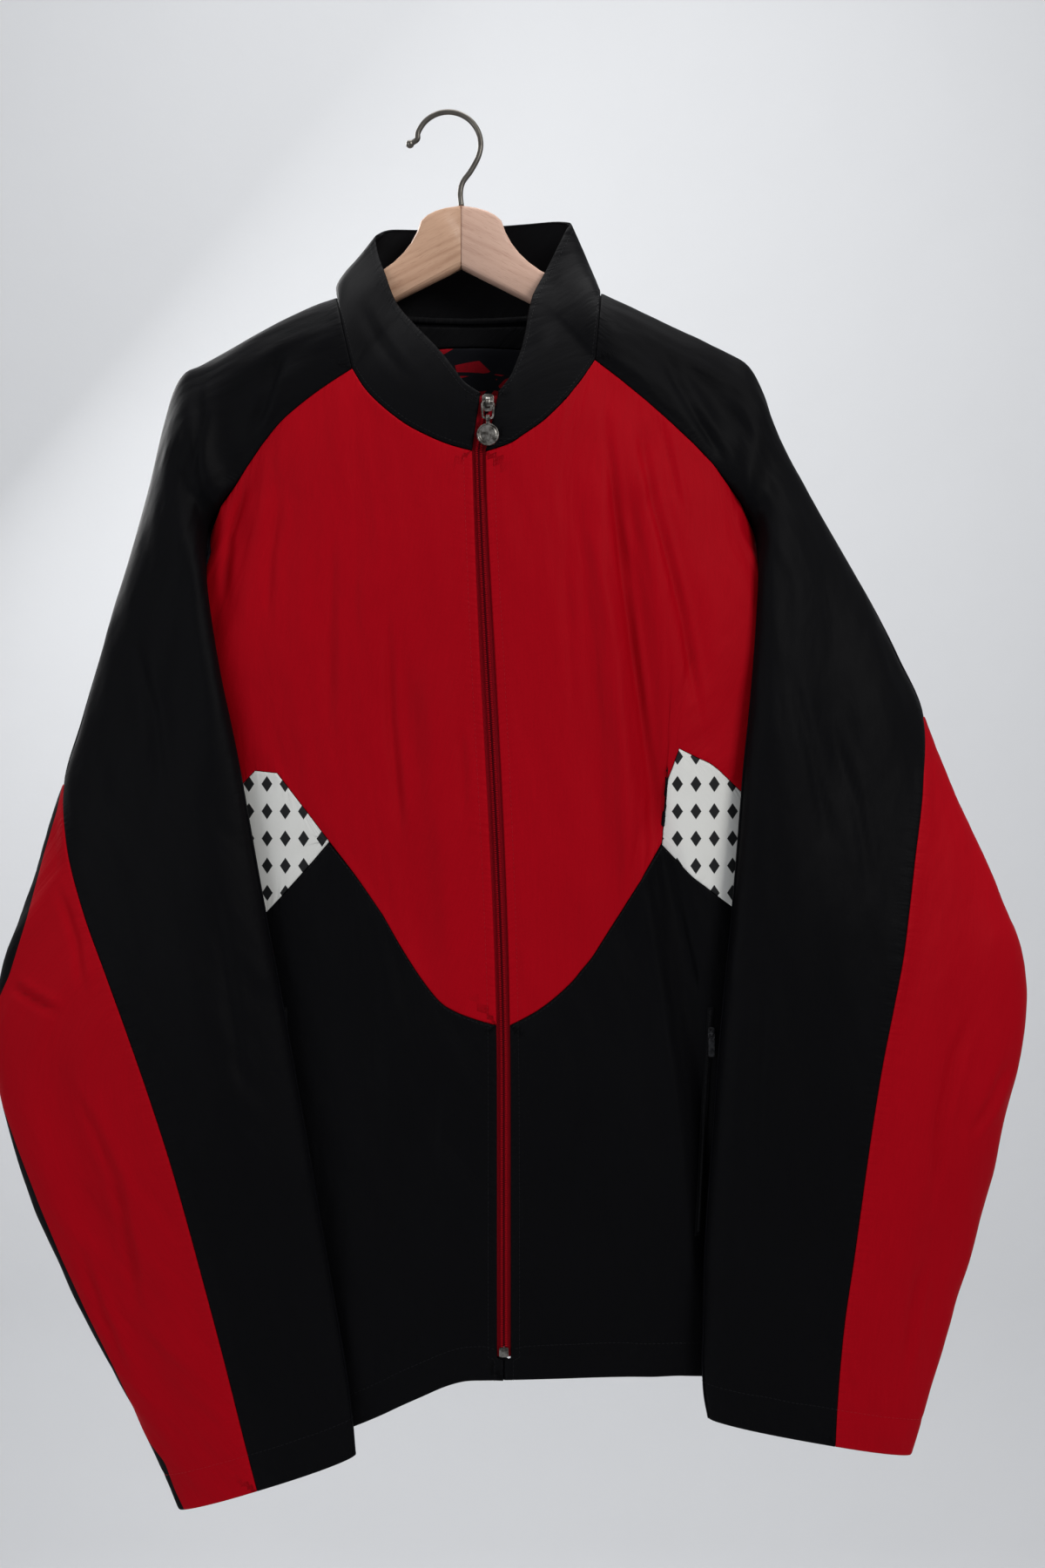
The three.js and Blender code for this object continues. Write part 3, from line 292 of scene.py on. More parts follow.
@dataclass(frozen=True)
class Nylon:
    """A crisp matt microfibre nylon with fine crinkles, and puckers beside its seams."""

    name: str
    slot: str
    colour: Colour
    roughness: float = 0.7
    specular: float = 0.28
    sheen: float = 0.1
    crinkle: float = 0.24
    cloudy: float = 0.16
    pucker_reach: ClassVar[float] = 6 * MM
    rub_reach: ClassVar[float] = 1.2 * MM

    def relief(self, shader: Shader) -> Value:
        """The cloth's small relief.

        Args:
            shader: the material that is being built.

        Returns:
            Its height in millimetres.
        """
        cloth = shader.cloth_place()
        crumple = shader.noise(shader.scaled(cloth, (1, 0.55, 1)), 62, 4.0, 0.55) - 0.5
        creased = abs(shader.noise(shader.scaled(cloth, (1, 0.38, 1), 14), 24, 3.0, 0.6) - 0.5)
        other = abs(shader.noise(shader.scaled(cloth, (1, 0.45, 1), -22), 33, 2.0, 0.5) - 0.5)
        weave = shader.noise(cloth, 1500, 1.0) - 0.5
        run, seam = shader.attribute("run"), shader.attribute("seam")
        along = shader.node("ShaderNodeCombineXYZ", {}, {"X": run, "Y": seam * 0.18}).outputs[0]
        pucker = (shader.noise(along, 170, 2.0, 0.6) - 0.5) * seam.fall(self.pucker_reach)
        sharp = creased.least(0.09) * 2.6 + other.least(0.07) * 1.8
        return crumple * self.crinkle * 2.2 + sharp * self.crinkle * 1.6 + weave * 0.035 + pucker * 1.5

    def dyed(self, shader: Shader) -> Any:
        """The cloth's colour, or its socket."""
        return self.colour

    def make(self) -> Any:
        """Builds the material."""
        shader = Shader(self.name)
        cloth, place = shader.cloth_place(), shader.place()
        clouds = shader.noise(place, 9, 3.0) - 0.5
        flecks = shader.noise(cloth, 900, 2.0, 0.7) - 0.5
        yarn = shader.noise(shader.scaled(cloth, (1, 0.06, 1)), 700, 1.0) - 0.5
        rub = shader.attribute("seam").fall(self.rub_reach)
        strength = 1 + clouds * self.cloudy + flecks * 0.16 + yarn * 0.12 + rub * 0.1
        colour = shader.lit(self.dyed(shader), strength)
        roughness = self.roughness + clouds * 0.12 + flecks * 0.1
        return shader.finish(
            colour,
            roughness,
            self.relief(shader),
            specular_ior_level=self.specular,
            sheen_weight=self.sheen,
            sheen_roughness=0.45,
        )


@dataclass(frozen=True)
class ShadowEdgedNylon(Nylon):
    """Nylon that turns black past a traced line near its edge and where it faces the rear: painted shadow, standing in
    for the sleeve's shadow cast on the wall beside it.
    """

    # The painted shadow's colour.
    other: Colour = (0.0, 0.0, 0.0)
    blur: ClassVar[float] = 0.15 * MM

    def dyed(self, shader: Shader) -> Any:
        """The cloth's colour, or its socket."""
        # Painted shadow: black where the stored beside value is below zero.
        return shader.mixed(shader.attribute("beside").smooth(-self.blur, self.blur), self.other, self.colour)


@dataclass(frozen=True)
class DiamondFlash(Nylon):
    """White nylon with rows of small black diamonds."""

    ink: Colour = linear(15, 16, 18)
    wide: float = 13 * MM
    tall: float = 19 * MM

    def make(self) -> Any:
        """Builds the material."""
        shader = Shader(self.name)
        cloth = shader.cloth_place()
        across, _, up = shader.parts(shader.place())
        u, v = across / self.wide, up / self.tall
        diamond = abs(u.fraction() - 0.5) + abs(v.fraction() - 0.5)
        edge = shader.noise(cloth, 1200, 1.0) * 0.03
        inked = 1 - (diamond + edge).smooth(0.3, 0.33)
        dust = shader.noise(shader.place(), 30, 4.0, 0.6).smooth(0.45, 0.8)
        white = shader.mixed(dust * 0.12, self.colour, linear(176, 172, 164))
        colour = shader.mixed(inked, white, self.ink)
        relief = self.relief(shader) + inked * 0.04
        return shader.finish(colour, self.roughness, relief, specular_ior_level=self.specular, sheen_weight=0.05)


@dataclass(frozen=True)
class ShardLining:
    """Navy lining with a print of plain red shards."""

    name: str
    slot: str
    ground: Colour = linear(11, 12, 18)
    print: Colour = linear(140, 4, 20)

    def _cells(self, shader: Shader, place: Any, scale: float) -> tuple[Value, Value]:
        """Angular cells.

        Args:
            shader: the material that is being built.
            place: the coordinates.
            scale: cells in a metre.

        Returns:
            A random number for each cell, and the way to its edge.
        """
        sockets = {"Vector": place, "Scale": scale, "Randomness": 1.0}
        cells = shader.node("ShaderNodeTexVoronoi", {}, sockets)
        chosen = shader.parts(cells.outputs["Color"])[0]
        rims = shader.node("ShaderNodeTexVoronoi", {"feature": "DISTANCE_TO_EDGE"}, sockets)
        return chosen, Value(shader, rims.outputs["Distance"])

    def make(self) -> Any:
        """Builds the material."""
        shader = Shader(self.name)
        cloth = shader.cloth_place()
        chosen, inside = self._cells(shader, shader.scaled(cloth, (1, 2.1, 1), 28), 30.0)
        other, within = self._cells(shader, shader.scaled(cloth, (1, 1.9, 1), -47), 24.0)
        shard = (chosen > 0.5) * (inside > 0.08) * (other > 0.42) * (within > 0.06)
        worn = shader.noise(cloth, 420, 3.0, 0.7).smooth(0.3, 0.5)
        yarn = shader.noise(shader.scaled(cloth, (1, 0.1, 1)), 800, 1.0) - 0.5
        colour = shader.lit(shader.mixed(shard * (0.7 + worn * 0.3), self.ground, self.print), 1 + yarn * 0.25)
        relief = shader.noise(cloth, 70, 4.0) * 0.5 + yarn * 0.05
        return shader.finish(colour, 0.62, relief, specular_ior_level=0.08)


@dataclass(frozen=True)
class WovenTape:
    """The zip's tape: a fine herringbone."""

    name: str
    slot: str
    colour: Colour
    zigzag: float = 1.6 * MM
    rib: float = 0.75 * MM

    def make(self) -> Any:
        """Builds the material."""
        shader = Shader(self.name)
        x, _, z = shader.parts(shader.place())
        zigzag = abs((x / self.zigzag).fraction() - 0.5) * self.zigzag
        rib = ((z + zigzag) * (2 * math.pi / self.rib)).sine()
        fluff = shader.noise(shader.place(), 700, 2.0) - 0.5
        colour = shader.lit(self.colour, 1 + rib * 0.12 + fluff * 0.25)
        return shader.finish(colour, 0.8, rib * 0.05 + fluff * 0.08, specular_ior_level=0.1)


@dataclass(frozen=True)
class Plastic:
    """Moulded coil or twisted thread: one colour with fine mottling."""

    name: str
    slot: str
    colour: Colour
    roughness: float
    specular: float

    def make(self) -> Any:
        """Builds the material."""
        shader = Shader(self.name)
        mottle = shader.noise(shader.place(), 900, 2.0) - 0.5
        broad = shader.noise(shader.place(), 40, 2.0) - 0.5
        colour = shader.lit(self.colour, 1 + mottle * 0.3 + broad * 0.2)
        return shader.finish(colour, self.roughness + mottle * 0.15, mottle * 0.03, specular_ior_level=self.specular)


@dataclass(frozen=True)
class RubbedMetal:
    """Metal in random patches of dark tarnish and bright rubbed metal."""

    name: str
    slot: str
    bright: Colour
    dark: Colour
    roughness: float = 0.34
    tarnish: float = 0.5
    scale: float = 420.0

    def make(self) -> Any:
        """Builds the material."""
        shader = Shader(self.name)
        place = shader.place()
        spots = shader.noise(place, self.scale, 4.0, 0.6)
        brushed = shader.noise(shader.scaled(place, (1, 1, 0.08)), self.scale * 3, 1.0) - 0.5
        worn = spots.smooth(self.tarnish - 0.2, self.tarnish + 0.2)
        colour = shader.mixed(worn, self.dark, self.bright)
        roughness = self.roughness + (1 - worn) * 0.18 + brushed * 0.12
        return shader.finish(colour, roughness, spots * 0.008 + brushed * 0.002, metallic=0.92)


@dataclass(frozen=True)
class Beech:
    """Pale wood whose grain runs down each arm of the hanger."""

    name: str
    slot: str
    slope: float
    pale: Colour
    grain: Colour
    ring: float = 6.4 * MM

    def make(self) -> Any:
        """Builds the material."""
        shader = Shader(self.name)
        x, y, z = shader.parts(shader.place())
        turn = math.radians(self.slope)
        along, up = x * math.cos(turn) + z * math.sin(turn), z * math.cos(turn) - x * math.sin(turn)
        stretched = shader.node("ShaderNodeCombineXYZ", {}, {"X": along * 0.09, "Y": y * 0.8, "Z": up}).outputs[0]
        bend = (shader.noise(stretched, 40, 4.0) - 0.5) * 30 * MM
        wave = (((up + bend) * (2 * math.pi / self.ring)).sine() + 1) / 2
        rings = wave * shader.noise(stretched, 90, 2.0).smooth(0.4, 0.66)
        flecks = shader.noise(stretched, 260, 3.0, 0.6).smooth(0.5, 0.8)
        fibre = shader.noise(stretched, 900, 3.0, 0.7)
        pores = (1 - shader.noise(stretched, 1500, 1.0).smooth(0.3, 0.42)) * 0.4
        tone = rings ** 1.6 * 0.34 + flecks * 0.3 + (fibre - 0.5) * 0.3 + pores * 0.7 + 0.04
        colour = shader.mixed(tone, self.pale, self.grain)
        relief = fibre * 0.05 - pores * 0.08
        return shader.finish(colour, 0.5 + (fibre - 0.5) * 0.3, relief, specular_ior_level=0.35, coat_weight=0.06)


@dataclass(frozen=True)
class Plaster:
    """A plain pale painted surface for the room."""

    name: str
    colour: Colour

    def make(self) -> Any:
        """Builds the material."""
        shader = Shader(self.name)
        trowel = shader.noise(shader.place(), 6, 5.0, 0.55)
        return shader.finish(shader.lit(self.colour, 0.985 + trowel * 0.03), 0.9, trowel * 2.0)


# Cloth


class Edge(Enum):
    """The four edges of a panel, as the number of the way that it ends and which end."""

    FOOT = (0, 0)
    TOP = (0, -1)
    START = (1, 0)
    END = (1, -1)


class Hang(Enum):
    """How a piece of cloth hangs: the size of its soft waves, in millimetres, and their length and width."""

    BODY = (1.7, 210.0, 46.0)
    SLEEVE = (1.9, 190.0, 36.0)
    COLLAR = (0.7, 60.0, 60.0)
    STILL = (0.15, 60.0, 40.0)


@dataclass(frozen=True)
class Crease:
    """A crease along a line of picture places, with its sizes in millimetres."""

    line: tuple[tuple[float, float], ...]
    depth: float
    width: float
    ridge: float


@dataclass(frozen=True)
class Picture:
    """How the picture's pixels lie on the object, for creases that are placed by what it shows."""

    middle: tuple[float, float] = (54.8, -484.5)
    centre: tuple[float, float] = (600.0, 900.0)
    scale: float = 0.63
    away: float = 1400.0

    def seen(self, points: np.ndarray) -> tuple[np.ndarray, np.ndarray]:
        """Where points show in the picture.

        Args:
            points: places in millimetres.

        Returns:
            Their pixels across and down.
        """
        size = self.scale * (1 + points[..., 1] / self.away)
        across = self.centre[0] + (points[..., 0] - self.middle[0]) / size
        return across, self.centre[1] - (points[..., 2] - self.middle[1]) / size


PICTURE = Picture()

# The creases of each panel: their line in picture pixels across and down, then depth, width and ridge.
CREASES = {
    "chest_left": (
        Crease(((689, 439), (708, 580), (724, 720), (745, 878), (755, 949)), 3.6, 3.0, 1.6),
        Crease(((724, 436), (752, 580), (784, 703), (799, 790), (812, 878)), 2.8, 3.0, 1.3),
        Crease(((752, 453), (768, 520), (786, 600)), 2.0, 2.6, 1.0),
        Crease(((648, 600), (652, 720), (660, 850)), 1.2, 4.4, 0.7),
        Crease(((738, 930), (730, 990), (716, 1050)), 1.9, 3.5, 0.9),
    ),
    "chest_right": (
        Crease(((286, 545), (263, 615), (256, 700)), 3.2, 3.5, 1.4),
        Crease(((322, 545), (309, 640), (306, 730)), 1.6, 4.0, 0.9),
        Crease(((383, 580), (378, 738), (376, 870)), 1.7, 4.4, 0.9),
        Crease(((443, 690), (448, 826), (462, 975)), 2.6, 3.5, 1.2),
        Crease(((525, 820), (532, 890), (530, 950)), 1.4, 3.5, 0.7),
    ),
    "lower_front_left": (
        Crease(((764, 985), (790, 1090), (813, 1212), (818, 1350), (819, 1500)), 2.5, 3.5, 1.1),
        Crease(((660, 1180), (668, 1300), (662, 1420)), 1.4, 5.3, 0.8),
    ),
    "lower_front_right": (
        Crease(((420, 1120), (432, 1260), (438, 1400)), 1.8, 5.3, 0.9),
        Crease(((500, 1230), (496, 1340), (504, 1450)), 1.2, 4.4, 0.6),
    ),
    "sleeve_gore_right": (
        Crease(((8, 1128), (34, 1146), (72, 1166)), 2.9, 3.2, 1.6),
        Crease(((70, 1230), (104, 1290), (132, 1353), (148, 1440), (160, 1530)), 2.6, 3.7, 1.3),
        Crease(((86, 1420), (112, 1500), (150, 1590)), 1.9, 3.5, 1.0),
        Crease(((64, 1010), (86, 1080), (96, 1150)), 1.7, 3.5, 0.9),
    ),
    "sleeve_gore_left": (
        Crease(((1124, 1142), (1098, 1210), (1080, 1283), (1072, 1406)), 2.9, 3.7, 1.4),
        Crease(((1160, 1212), (1140, 1262), (1112, 1310)), 2.2, 3.2, 1.2),
        Crease(((1062, 1440), (1048, 1510), (1040, 1581)), 2.2, 3.5, 1.2),
        Crease(((965, 1540), (972, 1570), (982, 1606)), 1.9, 2.6, 1.2),
    ),
    "sleeve_front_right": (
        Crease(((232, 432), (226, 490), (219, 560)), 2.8, 4.0, 1.4),
        Crease(((326, 390), (308, 445), (288, 505)), 2.8, 4.0, 1.4),
        Crease(((150, 720), (176, 820), (186, 930)), 2.1, 4.4, 1.1),
        Crease(((240, 1000), (262, 1130), (280, 1270)), 2.0, 4.4, 1.0),
    ),
    "sleeve_front_left": (
        Crease(((760, 410), (796, 470), (838, 540)), 2.5, 4.0, 1.4),
        Crease(((905, 755), (930, 860), (957, 984)), 2.1, 4.0, 1.1),
        Crease(((946, 808), (984, 920), (1004, 1054)), 2.0, 4.4, 1.0),
        Crease(((880, 1100), (872, 1230), (866, 1380)), 2.0, 4.4, 1.1),
    ),
    "collar": (
        Crease(((412, 340), (428, 380), (450, 412), (474, 440)), 1.5, 3.5, 0.6),
        Crease(((640, 300), (634, 350), (628, 400)), 1.2, 4.4, 0.6),
    ),
    "back": (
        Crease(((330, 640), (346, 860), (338, 1120)), 2.4, 4.4, 1.0),
        Crease(((470, 420), (462, 640), (478, 900)), 2.0, 5.0, 0.9),
        Crease(((600, 520), (612, 800), (604, 1180)), 1.8, 6.0, 0.8),
        Crease(((700, 380), (724, 600), (742, 860)), 2.6, 4.4, 1.2),
        Crease(((770, 760), (762, 1040), (776, 1330)), 2.2, 5.0, 1.0),
        Crease(((420, 1080), (436, 1300), (430, 1500)), 2.0, 5.0, 0.9),
        Crease(((300, 1100), (292, 1320), (306, 1520)), 2.2, 4.6, 1.0),
    ),
    "sleeve_back_right": (
        Crease(((210, 470), (186, 640), (160, 820)), 2.2, 4.6, 1.1),
        Crease(((150, 1000), (190, 1240), (210, 1420)), 2.0, 4.6, 1.0),
    ),
    "sleeve_back_left": (
        Crease(((850, 560), (900, 720), (936, 860)), 2.2, 4.6, 1.1),
        Crease(((930, 1000), (910, 1240), (900, 1440)), 2.0, 4.6, 1.0),
    ),
}

# A line traced along the sleeve's shadow on the wall beside the wearer's right gore, in picture pixels down and across;
# past it the gore is painted black as painted shadow.
GORE_SHADOW_LINE = np.array(
    [(905, 70), (930, 65), (980, 50), (1055, 30), (1120, 10), (1160, -8), (1200, -14), (1250, -5), (1320, 20),
     (1385, 45), (1445, 70), (1510, 100), (1570, 130), (1620, 154), (1650, 166), (1680, 189), (1710, 200), (1740, 214)]
)


def solid_mesh(node: str, weld: float = WELD) -> Any:
    """A CAD node's mesh, as a bmesh.

    Args:
        node: the node.
        weld: how near points have to lie to be one, or zero to leave them.

    Returns:
        The bmesh.
    """
    mesh = bmesh.new()
    mesh.from_mesh(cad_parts[node].data)
    if weld:
        bmesh.ops.remove_doubles(mesh, verts=mesh.verts, dist=weld)
    return mesh


def dress(made: Any, node: str | None = None, body: str = "jacket") -> None:
    """Hides the CAD node that an object replaces, and has the object move with a body.

    Args:
        made: the object.
        node: the CAD node that it replaces, if it does.
        body: the body that it moves with.
    """
    if node is not None:
        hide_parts(node)
    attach(made, body)


def smooth_step(values: np.ndarray, low: float, high: float) -> np.ndarray:
    """Zero below low and one above high, smooth between."""
    t = np.clip((values - low) / (high - low), 0, 1)
    return t * t * (3 - 2 * t)


def waves(u: np.ndarray, v: np.ndarray, seed: int) -> np.ndarray:
    """Smooth noise over two ways.

    Args:
        u: places one way, a lump apart at each whole number.
        v: places the other way.
        seed: which noise.

    Returns:
        Heights, mostly from -1 to 1.
    """
    table = np.random.default_rng(seed).uniform(0, 2 * np.pi, (64, 64))
    i, j = np.floor(u).astype(int), np.floor(v).astype(int)
    fu, fv = u - i, v - j
    total = np.zeros(u.shape)
    for di in (0, 1):
        for dj in (0, 1):
            angle = table[(i + di) % 64, (j + dj) % 64]
            pull = np.cos(angle) * (fu - di) + np.sin(angle) * (fv - dj)
            a, b = 1 - np.abs(fu - di), 1 - np.abs(fv - dj)
            total += pull * a**3 * (a * (a * 6 - 15) + 10) * b**3 * (b * (b * 6 - 15) + 10)
    return total * 1.6


def line_depth(crease: Crease, across: np.ndarray, down: np.ndarray) -> np.ndarray:
    """How far a crease moves the cloth.

    Args:
        crease: the crease.
        across: the points' pixels across the picture.
        down: the points' pixels down it.

    Returns:
        Millimetres outwards.
    """
    line = np.array(crease.line, float)
    steps = np.linalg.norm(np.diff(line, axis=0), axis=1)
    begun = np.concatenate([[0], np.cumsum(steps)])
    best, at, side = np.full(across.shape, 1e9), np.zeros(across.shape), np.zeros(across.shape)
    for k, step in enumerate(steps):
        (x, y), (dx, dy) = line[k], (line[k + 1] - line[k]) / step
        along = np.clip((across - x) * dx + (down - y) * dy, 0, step)
        away = np.hypot(across - x - along * dx, down - y - along * dy)
        nearer = away < best
        best, at = np.where(nearer, away, best), np.where(nearer, (begun[k] + along) / begun[-1], at)
        side = np.where(nearer, (across - x) * dy - (down - y) * dx, side)
    away = best * PICTURE.scale / crease.width
    fade = smooth_step(at, 0, 0.3) * smooth_step(1 - at, 0, 0.3)
    beside = np.exp(-((away - 1.7) ** 2)) * np.where(side > 0, 1, 0.35)
    return fade * (crease.ridge * beside - crease.depth * np.exp(-(away**1.4)))


class ClothGrid:
    """The outer face of a cloth solid as rows and columns of points, with smooth curves through them."""

    RIM_SHARES = (0.995, 1.005)
    SHARP = math.radians(24)
    CORNER_REACH = 9 * MM
    EDGE_LINES = (0.8 * MM, 2.2 * MM)
    NARROW = 12 * MM

    def __init__(self, node: str, wall: float) -> None:
        """Reads the solid's outer face.

        Args:
            node: the CAD node.
            wall: how thick it is, in metres.
        """
        self.node = node
        self.wall = wall
        mesh = solid_mesh(node)
        self._keep_outer(mesh)
        self._drop_diagonals(mesh)
        rows, normal = self._rows(mesh)
        mesh.free()
        self.points = self._turned(np.array(rows))
        near = np.linalg.norm(self.points - normal[0], axis=2)
        at = np.unravel_index(near.argmin(), near.shape)
        self.sign = 1.0
        found = self.normals(self.points)[at]
        self.sign = 1.0 if float(found @ normal[1]) > 0 else -1.0
        LOG.info("%s: %d by %d points", node, *self.points.shape[:2])

    def _keep_outer(self, mesh: Any) -> None:
        """Deletes the inner face and the rim, whose faces each have an edge as long as the wall is thick.

        Args:
            mesh: the solid.
        """
        mesh.faces.index_update()
        low, high = (share * self.wall for share in self.RIM_SHARES)
        across = {face for face in mesh.faces if any(low < edge.calc_length() < high for edge in face.edges)}
        pair = self._sheets([face for face in mesh.faces if face not in across])[:2]
        for sheet in pair:
            held = set(sheet)
            sheet += [
                face
                for face in across
                if sum(any(other in held for other in edge.link_faces) for edge in face.edges) > 1
            ]
        kept = {face.index for face in self._outer_of(pair)}
        bmesh.ops.delete(mesh, geom=[face for face in mesh.faces if face.index not in kept], context="FACES")

    @staticmethod
    def _sheets(faces: list[Any]) -> list[list[Any]]:
        """Sorts faces into connected sheets.

        Args:
            faces: the faces.

        Returns:
            The sheets, the largest first.
        """
        left, sheets = set(faces), []
        while left:
            sheet = [left.pop()]
            for face in sheet:
                for other in {other for edge in face.edges for other in edge.link_faces} & left:
                    left.remove(other)
                    sheet.append(other)
            sheets.append(sheet)
        return sorted(sheets, key=lambda sheet: -sum(face.calc_area() for face in sheet))

    def _outer_of(self, pair: list[list[Any]]) -> list[Any]:
        """Picks the outer of a wall's two faces.

        Args:
            pair: the faces of each, the larger first.

        Returns:
            The outer one's faces.
        """
        if self.node == "collar":
            return pair[0]
        way = Vector((0, 1, 0)) if "back" in self.node else Vector((0, -1, 0))
        if "gore" in self.node:
            way = Vector((1 if "left" in self.node else -1, 0, 0))
        return max(pair, key=lambda faces: sum(face.calc_area() * face.normal.dot(way) for face in faces))

    def _drop_diagonals(self, mesh: Any) -> None:
        """Joins the triangles in pairs, so that rows and columns are left.

        Args:
            mesh: the outer face.
        """
        corner = next(v for v in mesh.verts if len(v.link_faces) == 1)
        first = corner.link_faces[0]
        diagonal = next(edge for edge in first.edges if corner not in edge.verts)
        known, stack = {first: diagonal}, [first]
        while stack:
            face = stack.pop()
            diagonal = known[face]
            for edge in face.edges:
                for other in edge.link_faces:
                    if other in known:
                        continue
                    known[other] = diagonal
                    if edge != diagonal:
                        far = next(v for v in other.verts if v not in edge.verts)
                        near = next(v for v in edge.verts if v not in diagonal.verts)
                        known[other] = mesh.edges.get((far, near))
                    stack.append(other)
        edges = list({edge for edge in known.values() if edge is not None})
        bmesh.ops.dissolve_edges(mesh, edges=edges, use_verts=False)

    def _rows(self, mesh: Any) -> tuple[list[list[Vector]], tuple[np.ndarray, np.ndarray]]:
        """Walks over the squares.

        Args:
            mesh: the outer face as squares.

        Returns:
            The rows of points, and a place with its outward normal.
        """
        mesh.faces.index_update()
        mesh.normal_update()
        corner = next(v for v in mesh.verts if len(v.link_edges) == 2)
        row = [corner, corner.link_edges[0].other_vert(corner)]
        while len(row[-1].link_edges) != 2:
            rim = [edge.other_vert(row[-1]) for edge in row[-1].link_edges if edge.is_boundary]
            row.append(next(v for v in rim if v != row[-2]))
        rows, used = [row], set()
        while True:
            line: list[Any] = []
            for a, b in zip(rows[-1], rows[-1][1:]):
                squares = [face for face in mesh.edges.get((a, b)).link_faces if face.index not in used]
                if not squares:
                    break
                used.add(squares[0].index)
                far = [v for v in squares[0].verts if v not in (a, b)]
                above = next(v for v in far if mesh.edges.get((a, v)) is not None)
                line += [above] if not line else []
                line.append(next(v for v in far if v != above))
            if not line:
                break
            rows.append(line)
        seed = rows[len(rows) // 2][len(rows[0]) // 2]
        place, normal = np.array(seed.co), np.array(seed.normal)
        return [[v.co.copy() for v in line] for line in rows], (place, normal)

    @staticmethod
    def _turned(points: np.ndarray) -> np.ndarray:
        """Turns the grid so that its rows go up and its columns go towards +X."""

        def steepness(way: int) -> float:
            """How much of the way goes up or down."""
            steps = np.diff(points, axis=way)
            return float(np.mean(np.abs(steps[..., 2]) / (np.linalg.norm(steps, axis=2) + 1e-9)))

        if steepness(1) > steepness(0):
            points = points.transpose(1, 0, 2)
        if points[-1, :, 2].mean() < points[0, :, 2].mean():
            points = points[::-1]
        return points if points[:, -1, 0].mean() > points[:, 0, 0].mean() else points[:, ::-1]

    def normals(self, points: np.ndarray) -> np.ndarray:
        """Outward normals of a grid of points."""
        up, along = np.gradient(points, axis=0), np.gradient(points, axis=1)
        made = np.cross(up, along) * self.sign
        return made / (np.linalg.norm(made, axis=2, keepdims=True) + 1e-12)

    @staticmethod
    def weights(count: int, places: np.ndarray, corners: Sequence[int] = ()) -> np.ndarray:
        """What each of the numbered values counts for at places between them, on a smooth curve through them.

        Args:
            count: how many values there are.
            places: where the curve is wanted.
            corners: the values at which the curve turns sharply.

        Returns:
            The weights, a row for each place.
        """
        weights = np.zeros((len(places), count))
        i = np.clip(np.floor(places), 0, count - 2).astype(int)
        t = places - i
        before, beyond = -t / 2 + t**2 - t**3 / 2, (t**3 - t**2) / 2
        ends = [0, count - 1, *corners]
        first, last = before * np.isin(i, ends), beyond * np.isin(i + 1, ends)
        at = np.arange(len(places))
        weights[at, i] += 1 - 2.5 * t**2 + 1.5 * t**3 + 2 * first - last
        weights[at, i + 1] += t / 2 + 2 * t**2 - 1.5 * t**3 + 2 * last - first
        weights[at, np.maximum(i - 1, 0)] += before - first
        weights[at, np.minimum(i + 2, count - 1)] += beyond - last
        return weights

    def _corners(self, way: int) -> list[int]:
        """The grid lines at which the panel's outline turns sharply, counted along one way."""
        found: set[int] = set()
        for rim in self.points.transpose(1, 0, 2)[[0, -1]] if way == 0 else self.points[[0, -1]]:
            steps = np.diff(rim, axis=0)
            steps /= np.linalg.norm(steps, axis=1, keepdims=True)
            turn = np.arccos(np.clip((steps[1:] * steps[:-1]).sum(axis=1), -1, 1))
            found |= set((np.flatnonzero(turn > self.SHARP) + 1).tolist())
        return sorted(found)

    def _places(self, way: int, spacing: float, corners: Sequence[int]) -> np.ndarray:
        """Places along one way of the grid, evenly spaced, with more of them at the edges."""
        steps = np.linalg.norm(np.diff(self.points, axis=way), axis=2).mean(axis=1 - way)
        length = np.concatenate([[0], np.cumsum(steps)])
        even = np.linspace(0, length[-1], max(4, math.ceil(length[-1] / spacing)) + 1)
        wide = length[-1] > self.NARROW
        edges = [d for line in self.EDGE_LINES for d in (line, length[-1] - line)] if wide else []
        clear = self.EDGE_LINES[1] * 1.5
        inner = [d for d in even[1:-1] if clear < d < length[-1] - clear]
        places = np.interp(sorted([0, length[-1], *edges, *inner]), length, np.arange(len(length)))
        for corner in corners:
            places[np.abs(places - corner).argmin()] = corner
        return places

    def fine(self, spacing: tuple[float, float], sharp: bool) -> np.ndarray:
        """A finer grid on the same surface.

        Args:
            spacing: about how far apart its points lie up it and along it, in metres.
            sharp: whether the outline keeps its corners.

        Returns:
            The points.
        """
        corners = [self._corners(way) if sharp else [] for way in (0, 1)]
        places = [self._places(way, spacing[way], corners[way]) for way in (0, 1)]
        rows, columns = (self.weights(n, places[k]) for k, n in enumerate(self.points.shape[:2]))
        soft = np.einsum("ai,bj,ijk->abk", rows, columns, self.points)
        rows, columns = (self.weights(n, places[k], corners[k]) for k, n in enumerate(self.points.shape[:2]))
        keen = np.einsum("ai,bj,ijk->abk", rows, columns, self.points)
        return soft + (keen - soft) * np.exp(-((seams(soft).min(axis=0) / self.CORNER_REACH) ** 2))[..., None]


def lengths(points: np.ndarray, way: int) -> np.ndarray:
    """How far each point of a grid lies from the grid's start, along one way."""
    steps = np.linalg.norm(np.diff(points, axis=way), axis=2)
    pad = [(1, 0), (0, 0)] if way == 0 else [(0, 0), (1, 0)]
    return np.pad(np.cumsum(steps, axis=way), pad)


def seams(points: np.ndarray) -> np.ndarray:
    """How far each point of a grid lies from its foot, top, start and end."""
    up, along = lengths(points, 0), lengths(points, 1)
    return np.stack([up, up[-1:] - up, along, along[:, -1:] - along])


def new_object(name: str, mesh: Any, *materials: Any) -> Any:
    """Puts a mesh into the scene at the origin."""
    for material in materials:
        mesh.materials.append(material)
    made = bpy.data.objects.new(name, mesh)
    bpy.context.collection.objects.link(made)
    return made


@dataclass(frozen=True)
class Lap:
    """A strip on the foot of an edge that reaches behind the piece on its other side."""

    edge: Edge
    top: float
    reach: float
    ROWS: ClassVar[int] = 8


